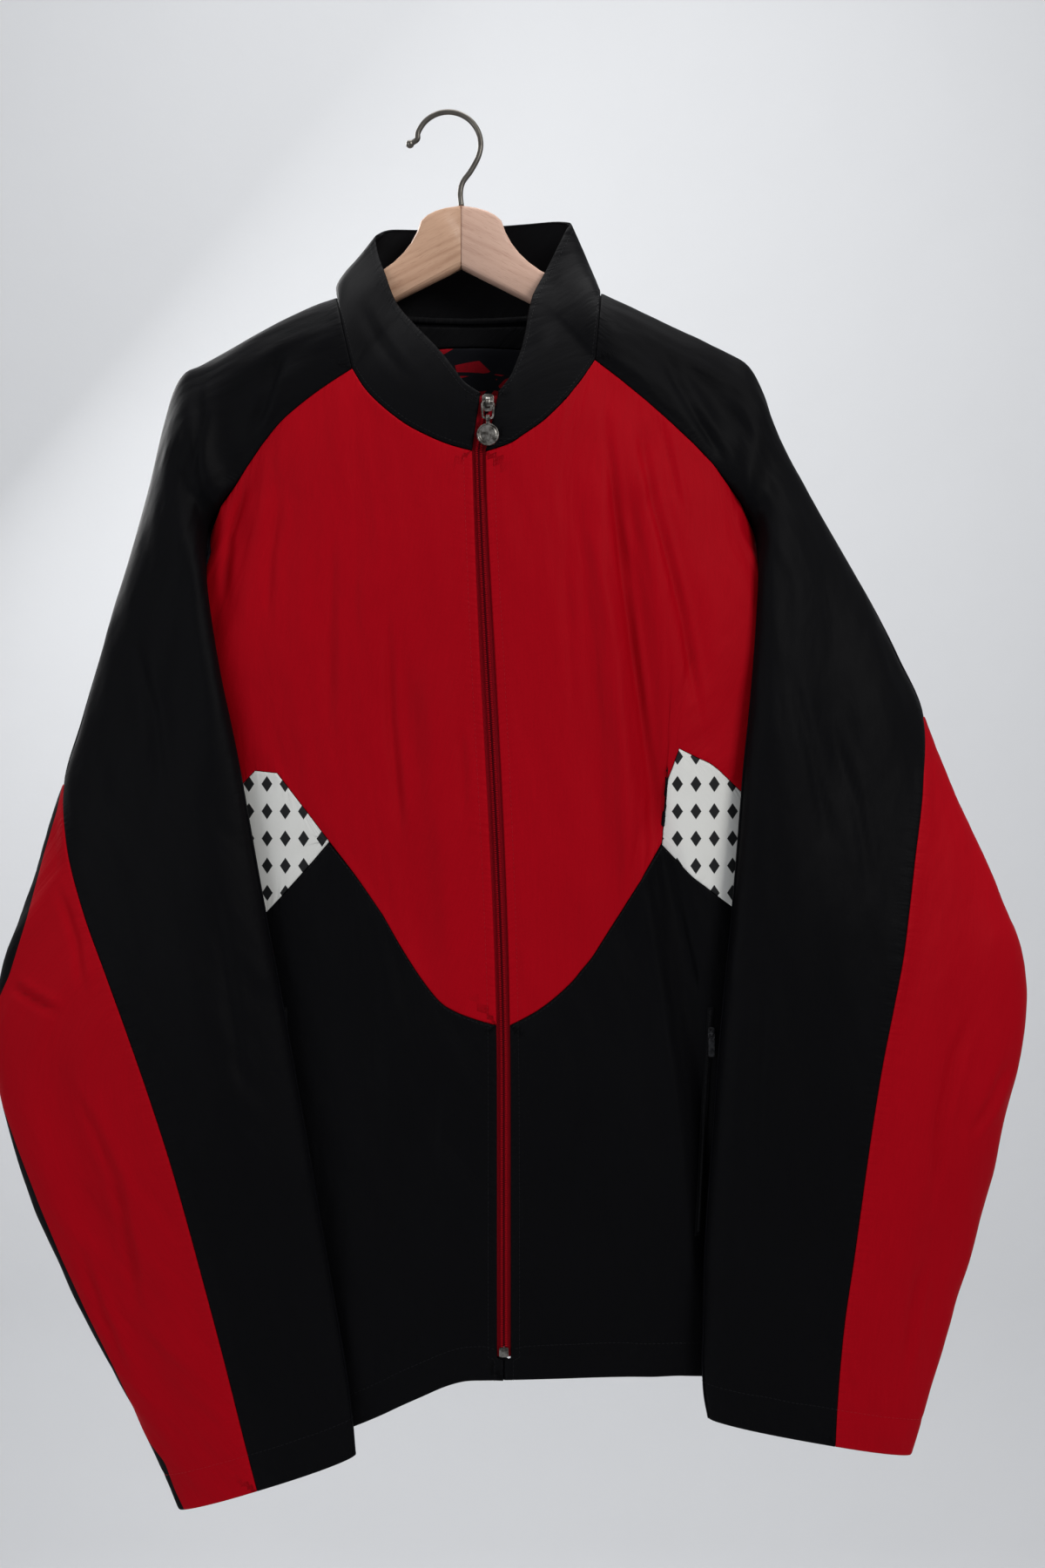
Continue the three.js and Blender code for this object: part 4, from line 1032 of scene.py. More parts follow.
@dataclass
class ClothPanel:
    """One cut piece of cloth: a wall with its folds, creases and soft edges."""

    node: str
    slot: str
    hang: Hang
    flat: tuple[float, float]
    seed: int = 0
    thick: float = 1.3 * MM
    spacing: tuple[float, float] = (4.2 * MM, 3.4 * MM)
    roll: float = 0.34 * MM
    area: float | None = None
    grooves: list[tuple[Edge, float]] = field(default_factory=list)
    allowances: tuple[Edge, ...] = ()
    lap: Lap | None = None
    outer: np.ndarray = field(init=False)
    made: Any = field(init=False, default=None)
    # Soft waves: share of the size, lean, shares of the width and the length, and where they begin.
    WAVES: ClassVar[tuple[Any, ...]] = (
        (1.0, 0.0, 1.0, 1.0, (7.3, 3.1)),
        (0.35, 0.3, 0.45, 0.4, (0.0, 0.0)),
        (0.12, -0.2, 0.2, 0.16, (0.0, 0.0)),
    )
    GROOVE_DEPTH: ClassVar[float] = 0.35
    GROOVE_WIDTH: ClassVar[float] = 1.5 * MM
    ROLL_WIDTH: ClassVar[float] = 0.7 * MM
    FADE: ClassVar[tuple[float, float]] = (0.5, 14.0)
    REAR_FACING: ClassVar[float] = 0.1
    ALLOWANCE_GAP: ClassVar[float] = 0.12 * MM
    ALLOWANCE_THICK: ClassVar[float] = 0.4 * MM
    ALLOWANCE_REACH: ClassVar[float] = 2.8 * MM

    def build(self, finish: Any, inside: Any, calm: Callable[[np.ndarray], np.ndarray]) -> Any:
        """Makes the piece and has it replace its solid.

        Args:
            finish: the outer material.
            inside: the inner material.
            calm: gives 0 to 1 for places in millimetres: how far the cloth is free to move there.

        Returns:
            The object.
        """
        self.grid = ClothGrid(self.node, self.thick)
        base = self.grid.fine(self.spacing, self.hang in (Hang.BODY, Hang.STILL))
        edges = seams(base)
        up, along = edges[0], edges[2]
        seam = edges.min(axis=0)
        run = np.where(edges[:2].min(axis=0) < edges[2:].min(axis=0), along, up)
        normals = self.grid.normals(base)
        lift = self._lift(base, up / MM, along / MM, seam / MM) * calm(base / MM)
        for edge, inset in self.grooves:
            lift -= self.GROOVE_DEPTH * np.exp(-(((edges[list(Edge).index(edge)] - inset) / self.GROOVE_WIDTH) ** 2))
        rolled = self.roll * np.exp(-((seam / self.ROLL_WIDTH) ** 2))
        self.outer = base + normals * (lift * MM - rolled)[..., None]
        self.seam, self.edges = seam, edges
        self.made = self._wall(finish, inside, along, up, run)
        dress(self.made, self.node)
        LOG.info("%s: %d faces, outer face %.4f m2", self.node, len(self.made.data.polygons), self.measured())
        return self.made

    def _lift(self, base: np.ndarray, up: np.ndarray, along: np.ndarray, seam: np.ndarray) -> np.ndarray:
        """Soft waves and creases, in millimetres outwards, all of it fading to nothing at the seams."""
        size, long, wide = self.hang.value
        lift = np.zeros(up.shape)
        for number, (share, lean, narrow, short, begin) in enumerate(self.WAVES):
            across = (along + up * lean) / (wide * narrow) + begin[0]
            lift += share * size * waves(across, up / (long * short) + begin[1], self.seed + number)
        across, down = PICTURE.seen(base / MM)
        for crease in CREASES.get(self.node, ()):
            lift += line_depth(crease, across, down)
        return lift * smooth_step(seam, *self.FADE)

    def _wall(self, finish: Any, inside: Any, along: np.ndarray, up: np.ndarray, run: np.ndarray) -> Any:
        """Closes the wall behind the outer face and stores what its material reads."""
        rows, columns = self.outer.shape[:2]
        count = rows * columns
        inner = self.outer - self.grid.normals(self.outer) * self.thick
        at = np.arange(count).reshape(rows, columns)
        a, b, c, d = at[:-1, :-1], at[:-1, 1:], at[1:, 1:], at[1:, :-1]
        face = np.stack([a, d, c, b] if self.grid.sign > 0 else [a, b, c, d], axis=-1).reshape(-1, 4)
        rim = np.concatenate([at[0, :-1], at[:-1, -1], at[-1, :0:-1], at[:0:-1, 0]])
        after = np.roll(rim, -1)
        sides = np.stack([rim, rim + count, after + count, after], axis=-1)
        sides = sides[:, ::-1] if self.grid.sign > 0 else sides
        faces = np.concatenate([face, sides, face[:, ::-1] + count])
        points = np.concatenate([self.outer.reshape(-1, 3), inner.reshape(-1, 3)])
        source = np.tile(np.arange(count), 2)
        strips = [self._allowance(edge, at) for edge in self.allowances]
        if self.lap is not None:
            strips.append(self._allowance(self.lap.edge, at, self.lap))
        for more, quads, rim in strips:
            faces = np.concatenate([faces, quads + len(points)])
            points, source = np.concatenate([points, more]), np.concatenate([source, rim])
        mesh = bpy.data.meshes.new(self.node + "_cloth")
        mesh.from_pydata(points.tolist(), [], faces.tolist())
        mesh.polygons.foreach_set("use_smooth", [True] * len(faces))
        which = np.ones(len(faces), int)
        which[: len(face) + len(sides)] = 0
        mesh.polygons.foreach_set("material_index", which)
        # The beside value marks painted shadow: below zero past the traced shadow line and on rear-facing cloth.
        across, down = PICTURE.seen(self.outer / MM)
        beside = across - np.interp(down, GORE_SHADOW_LINE[:, 0], GORE_SHADOW_LINE[:, 1])
        rear = self.grid.normals(self.outer)[..., 1] > self.REAR_FACING
        beside = np.where(rear, -1, beside) * PICTURE.scale * MM
        for name, values in (("seam", self.seam), ("run", run), ("beside", beside)):
            layer = mesh.attributes.new(name, "FLOAT", "POINT")
            layer.data.foreach_set("value", values.reshape(-1)[source].astype(np.float32))
        corners = np.empty(len(mesh.loops), int)
        mesh.loops.foreach_get("vertex_index", corners)
        flat = np.stack([along, up], axis=-1).reshape(-1, 2)[source][corners]
        mesh.uv_layers.new(name="cloth").data.foreach_set("uv", flat.reshape(-1).astype(np.float32))
        mesh.update()
        return new_object(self.node + "_cloth", mesh, finish, inside)

    def _allowance(
        self, edge: Edge, at: np.ndarray, lap: Lap | None = None
    ) -> tuple[np.ndarray, np.ndarray, np.ndarray]:
        """The turned strip behind a seam, which the neighbouring piece is sewn to.

        Args:
            edge: the panel's edge.
            at: the numbers of the outer face's points.
            lap: how a strip on part of the edge differs, where it is one.

        Returns:
            The strip's points, its faces, and the outer point that each of its points follows.
        """
        points, normals = self.outer, self.grid.normals(self.outer)
        if edge.value[0] == 1:
            points, normals, at = points.transpose(1, 0, 2), normals.transpose(1, 0, 2), at.T
        end, back = edge.value[1], 2 if edge.value[1] == 0 else -3
        rim, root, out, rear, source = points[end], points[back], normals[end], normals[back], at[end]
        reach = self.ALLOWANCE_REACH
        if lap is not None:
            heights, reach = np.linspace(rim[0, 2], lap.top, lap.ROWS), lap.reach
            source = source[np.searchsorted(rim[:, 2], heights).clip(0, len(rim) - 1)]
            rim, root, out, rear = (
                np.stack([np.interp(heights, rim[:, 2], line[:, k]) for k in range(3)], axis=1)
                for line in (rim, root, out, rear)
            )
        away = rim - root
        away /= np.linalg.norm(away, axis=1, keepdims=True)
        low, high = self.thick + self.ALLOWANCE_GAP, self.thick + self.ALLOWANCE_GAP + self.ALLOWANCE_THICK
        tip = rim + away * reach
        lines = np.stack([root - rear * low, tip - out * low, tip - out * high, root - rear * high])
        count = lines.shape[1]
        number = np.arange(4 * count).reshape(4, count)
        quads = [
            np.stack([number[k, :-1], number[k, 1:], number[(k + 1) % 4, 1:], number[(k + 1) % 4, :-1]], axis=-1)
            for k in range(4)
        ]
        faces = np.concatenate([*quads, np.stack([number[:, 0], number[::-1, -1]])])
        across, back, way = lines[1] - lines[0], lines[3] - lines[0], np.gradient(lines[0], axis=0)
        outwards = (np.cross(across, back) * way).sum() < 0
        return lines.reshape(-1, 3), faces if outwards else faces[:, ::-1], np.tile(source, 4)

    def measured(self) -> float:
        """The outer face's area in square metres."""
        a, b = np.diff(self.outer, axis=0)[:, :-1], np.diff(self.outer, axis=1)[:-1]
        return float(np.linalg.norm(np.cross(a, b), axis=2).sum())

    def declare(self, rests_on: Sequence[Any]) -> None:
        """Does nothing."""

    def beside(self, edge: Edge, inset: float, start: float = 0.0, end: float = 1.0, out: float = 0.05 * MM) -> Path:
        """A line on the cloth beside one of its edges.

        Args:
            edge: the edge.
            inset: how far in from it, in metres.
            start: where along the edge the line starts, from 0 to 1.
            end: where it ends.
            out: how far it stands off the cloth.

        Returns:
            The line's points.
        """
        points = self.outer + self.grid.normals(self.outer) * out
        away = self.edges[list(Edge).index(edge)]
        if edge.value[0] == 1:
            points, away = points.transpose(1, 0, 2), away.T
        line = []
        count = points.shape[1]
        for j in range(round(start * (count - 1)), round(end * (count - 1)) + 1):
            order = np.argsort(away[:, j])
            line.append(Vector([np.interp(inset, away[order, j], points[order, j, k]) for k in range(3)]))
        return line


# What repeats


class Repeat:
    """A Geometry Nodes tree that sets one small solid along a line, again and again."""

    def __init__(self, name: str, upright: bool) -> None:
        """Builds the tree.

        Args:
            name: the tree's name.
            upright: whether the piece's Z follows the line, and not its X.
        """
        self.tree = bpy.data.node_groups.new(name, "GeometryNodeTree")
        face = self.tree.interface
        face.new_socket("Geometry", in_out="INPUT", socket_type="NodeSocketGeometry")
        self.keys = {}
        for label, kind in (("Spacing", "Float"), ("Size", "Vector"), ("Sides", "Int"), ("Material", "Material")):
            self.keys[label] = face.new_socket(label, in_out="INPUT", socket_type="NodeSocket" + kind).identifier
        face.new_socket("Geometry", in_out="OUTPUT", socket_type="NodeSocketGeometry")
        given = self.tree.nodes.new("NodeGroupInput").outputs
        spread = self._node("GeometryNodeResampleCurve", {"mode": "LENGTH"}, {"Curve": given[0]})
        self._link(given["Spacing"], spread.inputs["Length"])
        ball = self._node("GeometryNodeMeshUVSphere", {}, {"Segments": given["Sides"]})
        ball.inputs["Rings"].default_value = 5
        ball.inputs["Radius"].default_value = 0.5
        shaped = self._node("GeometryNodeTransform", {}, {"Geometry": ball.outputs[0], "Scale": given["Size"]})
        rough = self._node("GeometryNodeSetShadeSmooth", {}, {"Geometry": shaped.outputs[0]})
        tangent = self._node("GeometryNodeInputTangent", {}, {})
        axis = {"axis": "Z" if upright else "X"}
        turn = self._node("FunctionNodeAlignRotationToVector", axis, {"Vector": tangent.outputs[0]})
        sockets = {"Points": spread.outputs[0], "Instance": rough.outputs[0], "Rotation": turn.outputs[0]}
        placed = self._node("GeometryNodeInstanceOnPoints", {}, sockets)
        real = self._node("GeometryNodeRealizeInstances", {}, {"Geometry": placed.outputs[0]})
        painted = self._node(
            "GeometryNodeSetMaterial", {}, {"Geometry": real.outputs[0], "Material": given["Material"]}
        )
        self._link(painted.outputs[0], self.tree.nodes.new("NodeGroupOutput").inputs[0])

    def _link(self, start: Any, end: Any) -> None:
        """Joins two sockets."""
        self.tree.links.new(start, end)

    def _node(self, kind: str, settings: dict[str, Any], sockets: dict[str, Any]) -> Any:
        """Adds a node whose sockets are linked as given."""
        node = self.tree.nodes.new(kind)
        for key, value in settings.items():
            setattr(node, key, value)
        for key, value in sockets.items():
            self._link(value, node.inputs[key])
        return node

    def along(
        self, name: str, lines: Sequence[Path], spacing: float, size: Sequence[float], material: Any, sides: int = 7
    ) -> Any:
        """Sets the pieces along lines.

        Args:
            name: the new object's name.
            lines: the lines' points.
            spacing: how far apart the pieces are.
            size: each piece's length, width and height.
            material: their material.
            sides: how many faces each has around it.

        Returns:
            The object, as a plain mesh.
        """
        curve = bpy.data.curves.new(name + "_lines", "CURVE")
        curve.dimensions = "3D"
        for line in lines:
            spline = curve.splines.new("POLY")
            spline.points.add(len(line) - 1)
            spline.points.foreach_set("co", [c for p in line for c in (*p, 1)])
        guide = bpy.data.objects.new(name + "_lines", curve)
        bpy.context.collection.objects.link(guide)
        work = guide.modifiers.new("repeat", "NODES")
        work.node_group = self.tree
        values = {"Spacing": spacing, "Size": tuple(size), "Sides": sides, "Material": material}
        for label, value in values.items():
            work[self.keys[label]] = value
        graph = bpy.context.evaluated_depsgraph_get()
        mesh = bpy.data.meshes.new_from_object(guide.evaluated_get(graph), depsgraph=graph)
        guide.modifiers.remove(work)
        bpy.data.objects.remove(guide)
        LOG.info("%s: %d faces", name, len(mesh.polygons))
        return new_object(name, mesh)


# Hard pieces

SHARP_EDGE = 32

def soften(made: Any, width: float, segments: int, angle: float) -> Any:
    """Adds a bevel to an object's edges that are sharper than an angle in degrees."""
    soft = made.modifiers.new("edges", "BEVEL")
    soft.width, soft.segments, soft.limit_method, soft.angle_limit = width, segments, "ANGLE", math.radians(angle)
    return soft


def shaped(name: str, mesh: Any, material: Any, bevel: float = 0.0) -> Any:
    """Finishes a mesh that is being built: welds it, turns its faces out, and softens it.

    Args:
        name: the new object's name.
        mesh: the bmesh, which is freed.
        material: its material.
        bevel: how wide its edges are rounded.

    Returns:
        The object.
    """
    bmesh.ops.remove_doubles(mesh, verts=mesh.verts, dist=WELD)
    bmesh.ops.recalc_face_normals(mesh, faces=mesh.faces)
    for face in mesh.faces:
        face.smooth = True
    data = bpy.data.meshes.new(name)
    mesh.to_mesh(data)
    mesh.free()
    made = new_object(name, data, material)
    if bevel:
        soften(made, bevel, 3, SHARP_EDGE).harden_normals = True
    return made


def add_slab(mesh: Any, outline: Sequence[tuple[float, float]], rear: float, thick: float) -> None:
    """Adds a flat solid whose outline lies in X and Z.

    Args:
        mesh: the bmesh.
        outline: its corners.
        rear: its rear face's Y.
        thick: how far it reaches forward.
    """
    foot = [mesh.verts.new((x, rear, z)) for x, z in outline]
    front = [mesh.verts.new((x, rear - thick, z)) for x, z in outline]
    mesh.faces.new(foot)
    mesh.faces.new(front[::-1])
    for i, vertex in enumerate(foot):
        j = (i + 1) % len(foot)
        mesh.faces.new([vertex, front[i], front[j], foot[j]])


def add_tube(mesh: Any, path: Path, radius: float | Sequence[float], sides: int = 12, closed: bool = False) -> None:
    """Adds a round bar along a path.

    Args:
        mesh: the bmesh.
        path: its middle line.
        radius: its radius, or one for each point.
        sides: faces around it.
        closed: whether the path ends where it starts.
    """
    radii = [float(radius)] * len(path) if isinstance(radius, (int, float)) else list(radius)
    rings = []
    reference = Vector((0.0, 1.0, 0.0))
    for i, point in enumerate(path):
        before = path[i - 1] if i or closed else point
        after = path[(i + 1) % len(path)] if i + 1 < len(path) or closed else point
        tangent = (after - before).normalized()
        side = (reference - tangent * reference.dot(tangent)).normalized()
        up = tangent.cross(side)
        turn = [2 * math.pi * k / sides for k in range(sides)]
        rings.append([mesh.verts.new(point + (side * math.cos(a) + up * math.sin(a)) * radii[i]) for a in turn])
    pairs = list(zip(rings, rings[1:])) + ([(rings[-1], rings[0])] if closed else [])
    for ring, after in pairs:
        for k in range(sides):
            m = (k + 1) % sides
            mesh.faces.new([ring[k], ring[m], after[m], after[k]])
    if not closed:
        mesh.faces.new(rings[0][::-1])
        mesh.faces.new(rings[-1])


def add_turned(mesh: Any, centre: Vector, profile: Sequence[tuple[float, float]], sides: int = 48) -> None:
    """Adds a round solid turned about an axis that points forward.

    Args:
        mesh: the bmesh.
        centre: its middle.
        profile: pairs of radius and how far forward, from its middle in front to its middle behind.
        sides: faces around it.
    """
    turn = [2 * math.pi * k / sides for k in range(sides)]
    rings = []
    for radius, forward in profile:
        if radius < WELD:
            rings.append([mesh.verts.new(centre + Vector((0, -forward, 0)))])
            continue
        ring = [centre + Vector((radius * math.cos(a), -forward, radius * math.sin(a))) for a in turn]
        rings.append([mesh.verts.new(p) for p in ring])
    for ring, after in zip(rings, rings[1:]):
        for k in range(sides):
            m = (k + 1) % sides
            corners = [ring[k % len(ring)], ring[m % len(ring)], after[m % len(after)], after[k % len(after)]]
            unique = list(dict.fromkeys(corners))
            mesh.faces.new(unique)


def add_arch(
    mesh: Any, root: Vector, reach: tuple[float, float], wire: float, shifts: Sequence[float], parts: int
) -> None:
    """Adds an arch that stands forward, as bars side by side.

    Args:
        mesh: the bmesh.
        root: the middle between its feet.
        reach: how far it reaches forward, and up and down.
        wire: each bar's radius.
        shifts: how far each bar lies to the side, in millimetres.
        parts: points along it.
    """
    turns = np.linspace(0.0, math.pi, parts)
    arch = [root + Vector((0, -reach[0] * math.sin(a), reach[1] * math.cos(a))) for a in turns]
    for shift in shifts:
        add_tube(mesh, [p + Vector((shift * MM, 0, 0)) for p in arch], wire, 8)


def mirrored(half: Sequence[tuple[float, float]], x: float, z: float) -> list[tuple[float, float]]:
    """A symmetric outline about a place, from its +X half in millimetres."""
    return [(x + a * MM, z + b * MM) for a, b in half] + [(x - a * MM, z + b * MM) for a, b in half[:0:-1]]


def curve_path(corners: Sequence[Vector], parts: int) -> Path:
    """A smooth path through points."""
    grid = np.array(corners)
    weights = ClothGrid.weights(len(grid), np.linspace(0, len(grid) - 1, parts))
    return [Vector(p) for p in weights @ grid]


def rounded_box(wide: float, tall: float, radius: float, parts: int = 5) -> list[tuple[float, float]]:
    """A rectangle's outline about the middle, with rounded corners."""
    outline = []
    for quarter, (sx, sz) in enumerate(((1, 1), (-1, 1), (-1, -1), (1, -1))):
        for k in range(parts + 1):
            a = math.pi / 2 * (quarter + k / parts)
            x, z = sx * (wide / 2 - radius), sz * (tall / 2 - radius)
            outline.append((x + radius * math.cos(a), z + radius * math.sin(a)))
    return outline


# The jacket's finishes

SEAM = 0.3 * MM
RED = linear(160, 2, 18)
BLACK = linear(8, 8, 10)


class Finish(Enum):
    """The finishes of the whole piece."""

    # The wearer's right gore, with painted shadow along its outer edge and its rear.
    SHADOW_EDGED = ShadowEdgedNylon("shadow_edged_nylon", "red_cloth", RED, roughness=0.62, specular=0.045, sheen=0.0, other=BLACK)
    RED = Nylon("red_nylon", "red_cloth", RED, roughness=0.62, specular=0.045, sheen=0.0)
    BLACK = Nylon("black_nylon", "black_cloth", BLACK, roughness=0.56, specular=0.048, sheen=0.0, cloudy=0.3)
    FLASH = DiamondFlash("diamond_nylon", "white_cloth", linear(222, 222, 218), roughness=0.66, crinkle=0.16)
    LINING = ShardLining("shard_lining", "printed_lining")
    INSIDE = Nylon("plain_lining", "printed_lining", linear(9, 9, 13), 0.6, 0.06, sheen=0.0, crinkle=0.3)
    TAPE = WovenTape("red_tape", "zip_red", linear(138, 4, 20))
    COIL = Plastic("red_coil", "zip_red", linear(150, 3, 18), 0.68, 0.08)
    CORD = Plastic("red_cord", "zip_red", linear(62, 2, 9), 0.8, 0.03)
    BLACK_TAPE = WovenTape("black_tape", "zip_black", linear(9, 9, 11))
    BLACK_COIL = Plastic("black_coil", "zip_black", linear(12, 12, 14), 0.45, 0.2)
    RED_THREAD = Plastic("red_thread", "red_cloth", linear(172, 6, 26), 0.6, 0.2)
    BLACK_THREAD = Plastic("black_thread", "black_cloth", linear(15, 15, 18), 0.6, 0.2)
    SILVER = RubbedMetal(
        "antique_silver", "antique_metal", linear(172, 168, 162), linear(62, 59, 55), 0.24, 0.54, 230.0
    )
    GUNMETAL = RubbedMetal("gunmetal", "antique_metal", linear(70, 70, 72), linear(24, 24, 26), 0.36)
    STEEL = RubbedMetal("drawn_steel", "hook_steel", linear(112, 108, 102), linear(76, 72, 67), 0.32, 0.44, 60.0)
    WOOD_RIGHT = Beech("beech_right", "wood", 27.0, linear(199, 160, 133), linear(160, 116, 88))
    WOOD_LEFT = Beech("beech_left", "wood", -27.0, linear(206, 170, 151), linear(168, 126, 106))
    GLUE = Plastic("glue_line", "wood", linear(136, 96, 74), 0.6, 0.2)

    def paint(self) -> Any:
        """The finish's material, made once."""
        name = self.value.name
        return bpy.data.materials.get(name) or self.value.make()


@dataclass
class Side:
    """One side of the jacket, as the wearer has it."""

    name: str
    sign: int

    def of(self, piece: str) -> str:
        """A piece's name on this side."""
        return f"{piece}_{self.name}"


RIGHT, LEFT = Side("right", -1), Side("left", 1)


@dataclass(frozen=True)
class ZipLine:
    """How the front zip runs, in millimetres: straight above its knee, and swung to the side below it."""

    knee: tuple[float, float] = (24.5, -253.0)
    slope: float = 0.2
    swing: float = 17.3
    length: float = 450.0
    power: float = 1.3

    def x(self, z: float) -> float:
        """Where the zip runs, in metres, at a height in metres."""
        over = z / MM - self.knee[1]
        if over > 0:
            return (self.knee[0] + over * self.slope) * MM
        share = min(1.0, -over / self.length) ** self.power
        return (self.knee[0] + self.swing * math.sin(math.pi / 2 * share)) * MM


ZIP = ZipLine()


# The jacket


@dataclass
class Shell:
    """The jacket's cut pieces and the sewing on them."""

    cuff_depth: float = 26 * MM
    hem_depth: float = 24 * MM
    zip_stitch: float = 6.2 * MM
    stitch: tuple[float, float, float] = (2.5 * MM, 0.42 * MM, 0.36 * MM)
    pitch: float = 3.1 * MM
    lap: float = 6 * MM
    patch: tuple[float, float, float] = (10 * MM, 22 * MM, 1.6 * MM)
    patch_up: float = 4 * MM
    patch_round: float = 3 * MM
    fine: tuple[float, float] = (5.0 * MM, 2.0 * MM)
    finer: tuple[float, float] = (3.4 * MM, 2.6 * MM)
    pockets: tuple[tuple[tuple[float, float], tuple[float, float]], ...] = (
        ((-112.0, -640.0), (-106.0, -800.0)),
        ((186.2, -640.0), (177.2, -800.0)),
    )
    pocket_half: float = 84.0
    pocket_calm: tuple[float, float] = (6.0, 24.0)
    panels: dict[str, ClothPanel] = field(default_factory=dict)

    def calm(self, places: np.ndarray) -> np.ndarray:
        """Zero beside the pockets, where the cloth is held flat, and one away from them."""
        free = np.ones(places.shape[:2])
        for top, foot in self.pockets:
            share = np.clip((places[..., 2] - top[1]) / (foot[1] - top[1]), -0.15, 1.1)
            away = places[..., 0] - top[0] - share * (foot[0] - top[0])
            past = np.clip(np.abs(places[..., 2] - (top[1] + foot[1]) / 2) - self.pocket_half, 0, None)
            free = np.minimum(free, smooth_step(np.hypot(away, past), *self.pocket_calm))
        return free

    def cut(self) -> None:
        """Lists the pieces: their hang, flat size and area, and where their stitched lines pull them in."""
        turned, cuff = [(Edge.FOOT, self.hem_depth)], [(Edge.FOOT, self.cuff_depth)]
        for k, side in enumerate((RIGHT, LEFT)):
            zipped, outer = (Edge.END, Edge.START) if side is RIGHT else (Edge.START, Edge.END)
            front, both = [(zipped, self.zip_stitch)], (Edge.START, Edge.END)
            sizes = {
                "chest": ("red_cloth", Hang.BODY, (0.23, 0.44), 0.074, front, (outer, Edge.TOP)),
                "flash": ("white_cloth", Hang.STILL, (0.13, 0.14), 0.013, [], (outer, Edge.TOP)),
                "lower_front": ("black_cloth", Hang.BODY, (0.26, 0.42), 0.084, front + turned, (outer, Edge.TOP)),
                "sleeve_front": ("black_cloth", Hang.SLEEVE, (0.19, 0.90), 0.09, cuff, (*both, Edge.TOP)),
                "sleeve_back": ("black_cloth", Hang.SLEEVE, (0.18, 0.88), 0.085, cuff, (*both, Edge.TOP)),
                "sleeve_gore": ("red_cloth", Hang.SLEEVE, (0.25, 0.60), 0.086, cuff, (*both, Edge.TOP)),
            }
            for row, (piece, (slot, hang, flat, area, grooves, allowances)) in enumerate(sizes.items()):
                self._add(side.of(piece), slot, hang, flat, 10 * row + k, area, grooves, allowances)
        self._add("back", "black_cloth", Hang.BODY, (0.52, 0.82), 71, 0.35, turned, (Edge.TOP,))
        self._add("collar", "black_cloth", Hang.COLLAR, (0.44, 0.11), 81, 0.03, [], (Edge.FOOT,))
        for side in (RIGHT, LEFT):
            for piece in ("chest", "lower_front"):
                self.panels[side.of(piece)].spacing = self.fine
            for piece in ("sleeve_front", "sleeve_gore"):
                self.panels[side.of(piece)].spacing = self.finer
        self.panels["collar"].thick, self.panels["collar"].roll = 2.2 * MM, 0.7 * MM
        self.panels[RIGHT.of("lower_front")].lap = Lap(
            Edge.END, max(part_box(side.of("zip_tape"))[0][2] for side in (RIGHT, LEFT)) + SEAM, self.lap
        )
        self._add("neck_facing", "black_cloth", Hang.STILL, (0.16, 0.022), 91, None, [], (Edge.TOP, Edge.FOOT))
        self._add("lining", "printed_lining", Hang.STILL, (0.29, 0.17), 92, 0.038, [], ())

    def _add(
        self,
        node: str,
        slot: str,
        hang: Hang,
        flat: tuple[float, float],
        seed: int,
        area: float | None,
        grooves: list[tuple[Edge, float]],
        allowances: tuple[Edge, ...],
    ) -> None:
        """Adds one cut piece to the list."""
        panel = ClothPanel(node, slot, hang, flat, seed, area=area, grooves=grooves, allowances=allowances)
        self.panels[node] = panel

    def finish_of(self, node: str) -> Finish:
        """A piece's outer finish."""
        # The wearer's right gore carries painted shadow beside the sleeve.
        if node == RIGHT.of("sleeve_gore"):
            return Finish.SHADOW_EDGED
        if node.startswith(("chest", "sleeve_gore")):
            return Finish.RED
        if node.startswith("flash"):
            return Finish.FLASH
        return Finish.LINING if node == "lining" else Finish.BLACK

    def build(self) -> None:
        """Makes every cut piece."""
        self.cut()
        for panel in self.panels.values():
            outer = self.finish_of(panel.node)
            inner = Finish.BLACK if panel.node in ("collar", "neck_facing") else Finish.INSIDE
            panel.build(outer.paint(), inner.paint(), self.calm)

    def close_underarms(self) -> None:
        """Small patches behind the points where the sleeve, front and back meet."""
        for side in (RIGHT, LEFT):
            edge = 0 if side is RIGHT else -1
            x, y, z = self.panels[side.of("chest")].outer[-1, edge]
            wide, tall, thick = self.patch
            mesh = bmesh.new()
            outline = [(x + a, z + self.patch_up + b) for a, b in rounded_box(wide, tall, self.patch_round, 3)]
            add_slab(mesh, outline, y + thick / 2, thick)
            dress(shaped(side.of("underarm"), mesh, Finish.BLACK_TAPE.paint()))

    def sew(self) -> None:
        """Sets the rows of stitches that show."""
        sewing = Repeat("stitching", upright=False)
        rows = {
            "zip_stitches_red": (Finish.RED_THREAD, self._zip_rows(("chest",))),
            "zip_stitches_black": (Finish.BLACK_THREAD, self._zip_rows(("lower_front",))),
            "cuff_stitches_red": (Finish.RED_THREAD, self._cuff_rows(("sleeve_gore",))),
            "cuff_stitches_black": (Finish.BLACK_THREAD, self._cuff_rows(("sleeve_front", "sleeve_back"))),
            "hem_stitches": (Finish.BLACK_THREAD, self._hem_rows()),
            "collar_stitches": (Finish.BLACK_THREAD, self._collar_rows()),
            "raglan_stitches": (Finish.BLACK_THREAD, self._raglan_rows()),
        }
        for name, (thread, lines) in rows.items():
            dress(sewing.along(name, lines, self.pitch, self.stitch, thread.paint()))

    def _zip_rows(self, pieces: Sequence[str]) -> list[Path]:
        """The rows beside the front zip."""
        lines = []
        for side in (RIGHT, LEFT):
            edge = Edge.END if side is RIGHT else Edge.START
            lines += [self.panels[side.of(piece)].beside(edge, self.zip_stitch, 0.02, 0.98) for piece in pieces]
        return lines

    def _cuff_rows(self, pieces: Sequence[str]) -> list[Path]:
        """The rows that hold the cuffs' casings."""
        named = [side.of(piece) for side in (RIGHT, LEFT) for piece in pieces]
        return [self.panels[name].beside(Edge.FOOT, self.cuff_depth, 0.02, 0.98) for name in named]

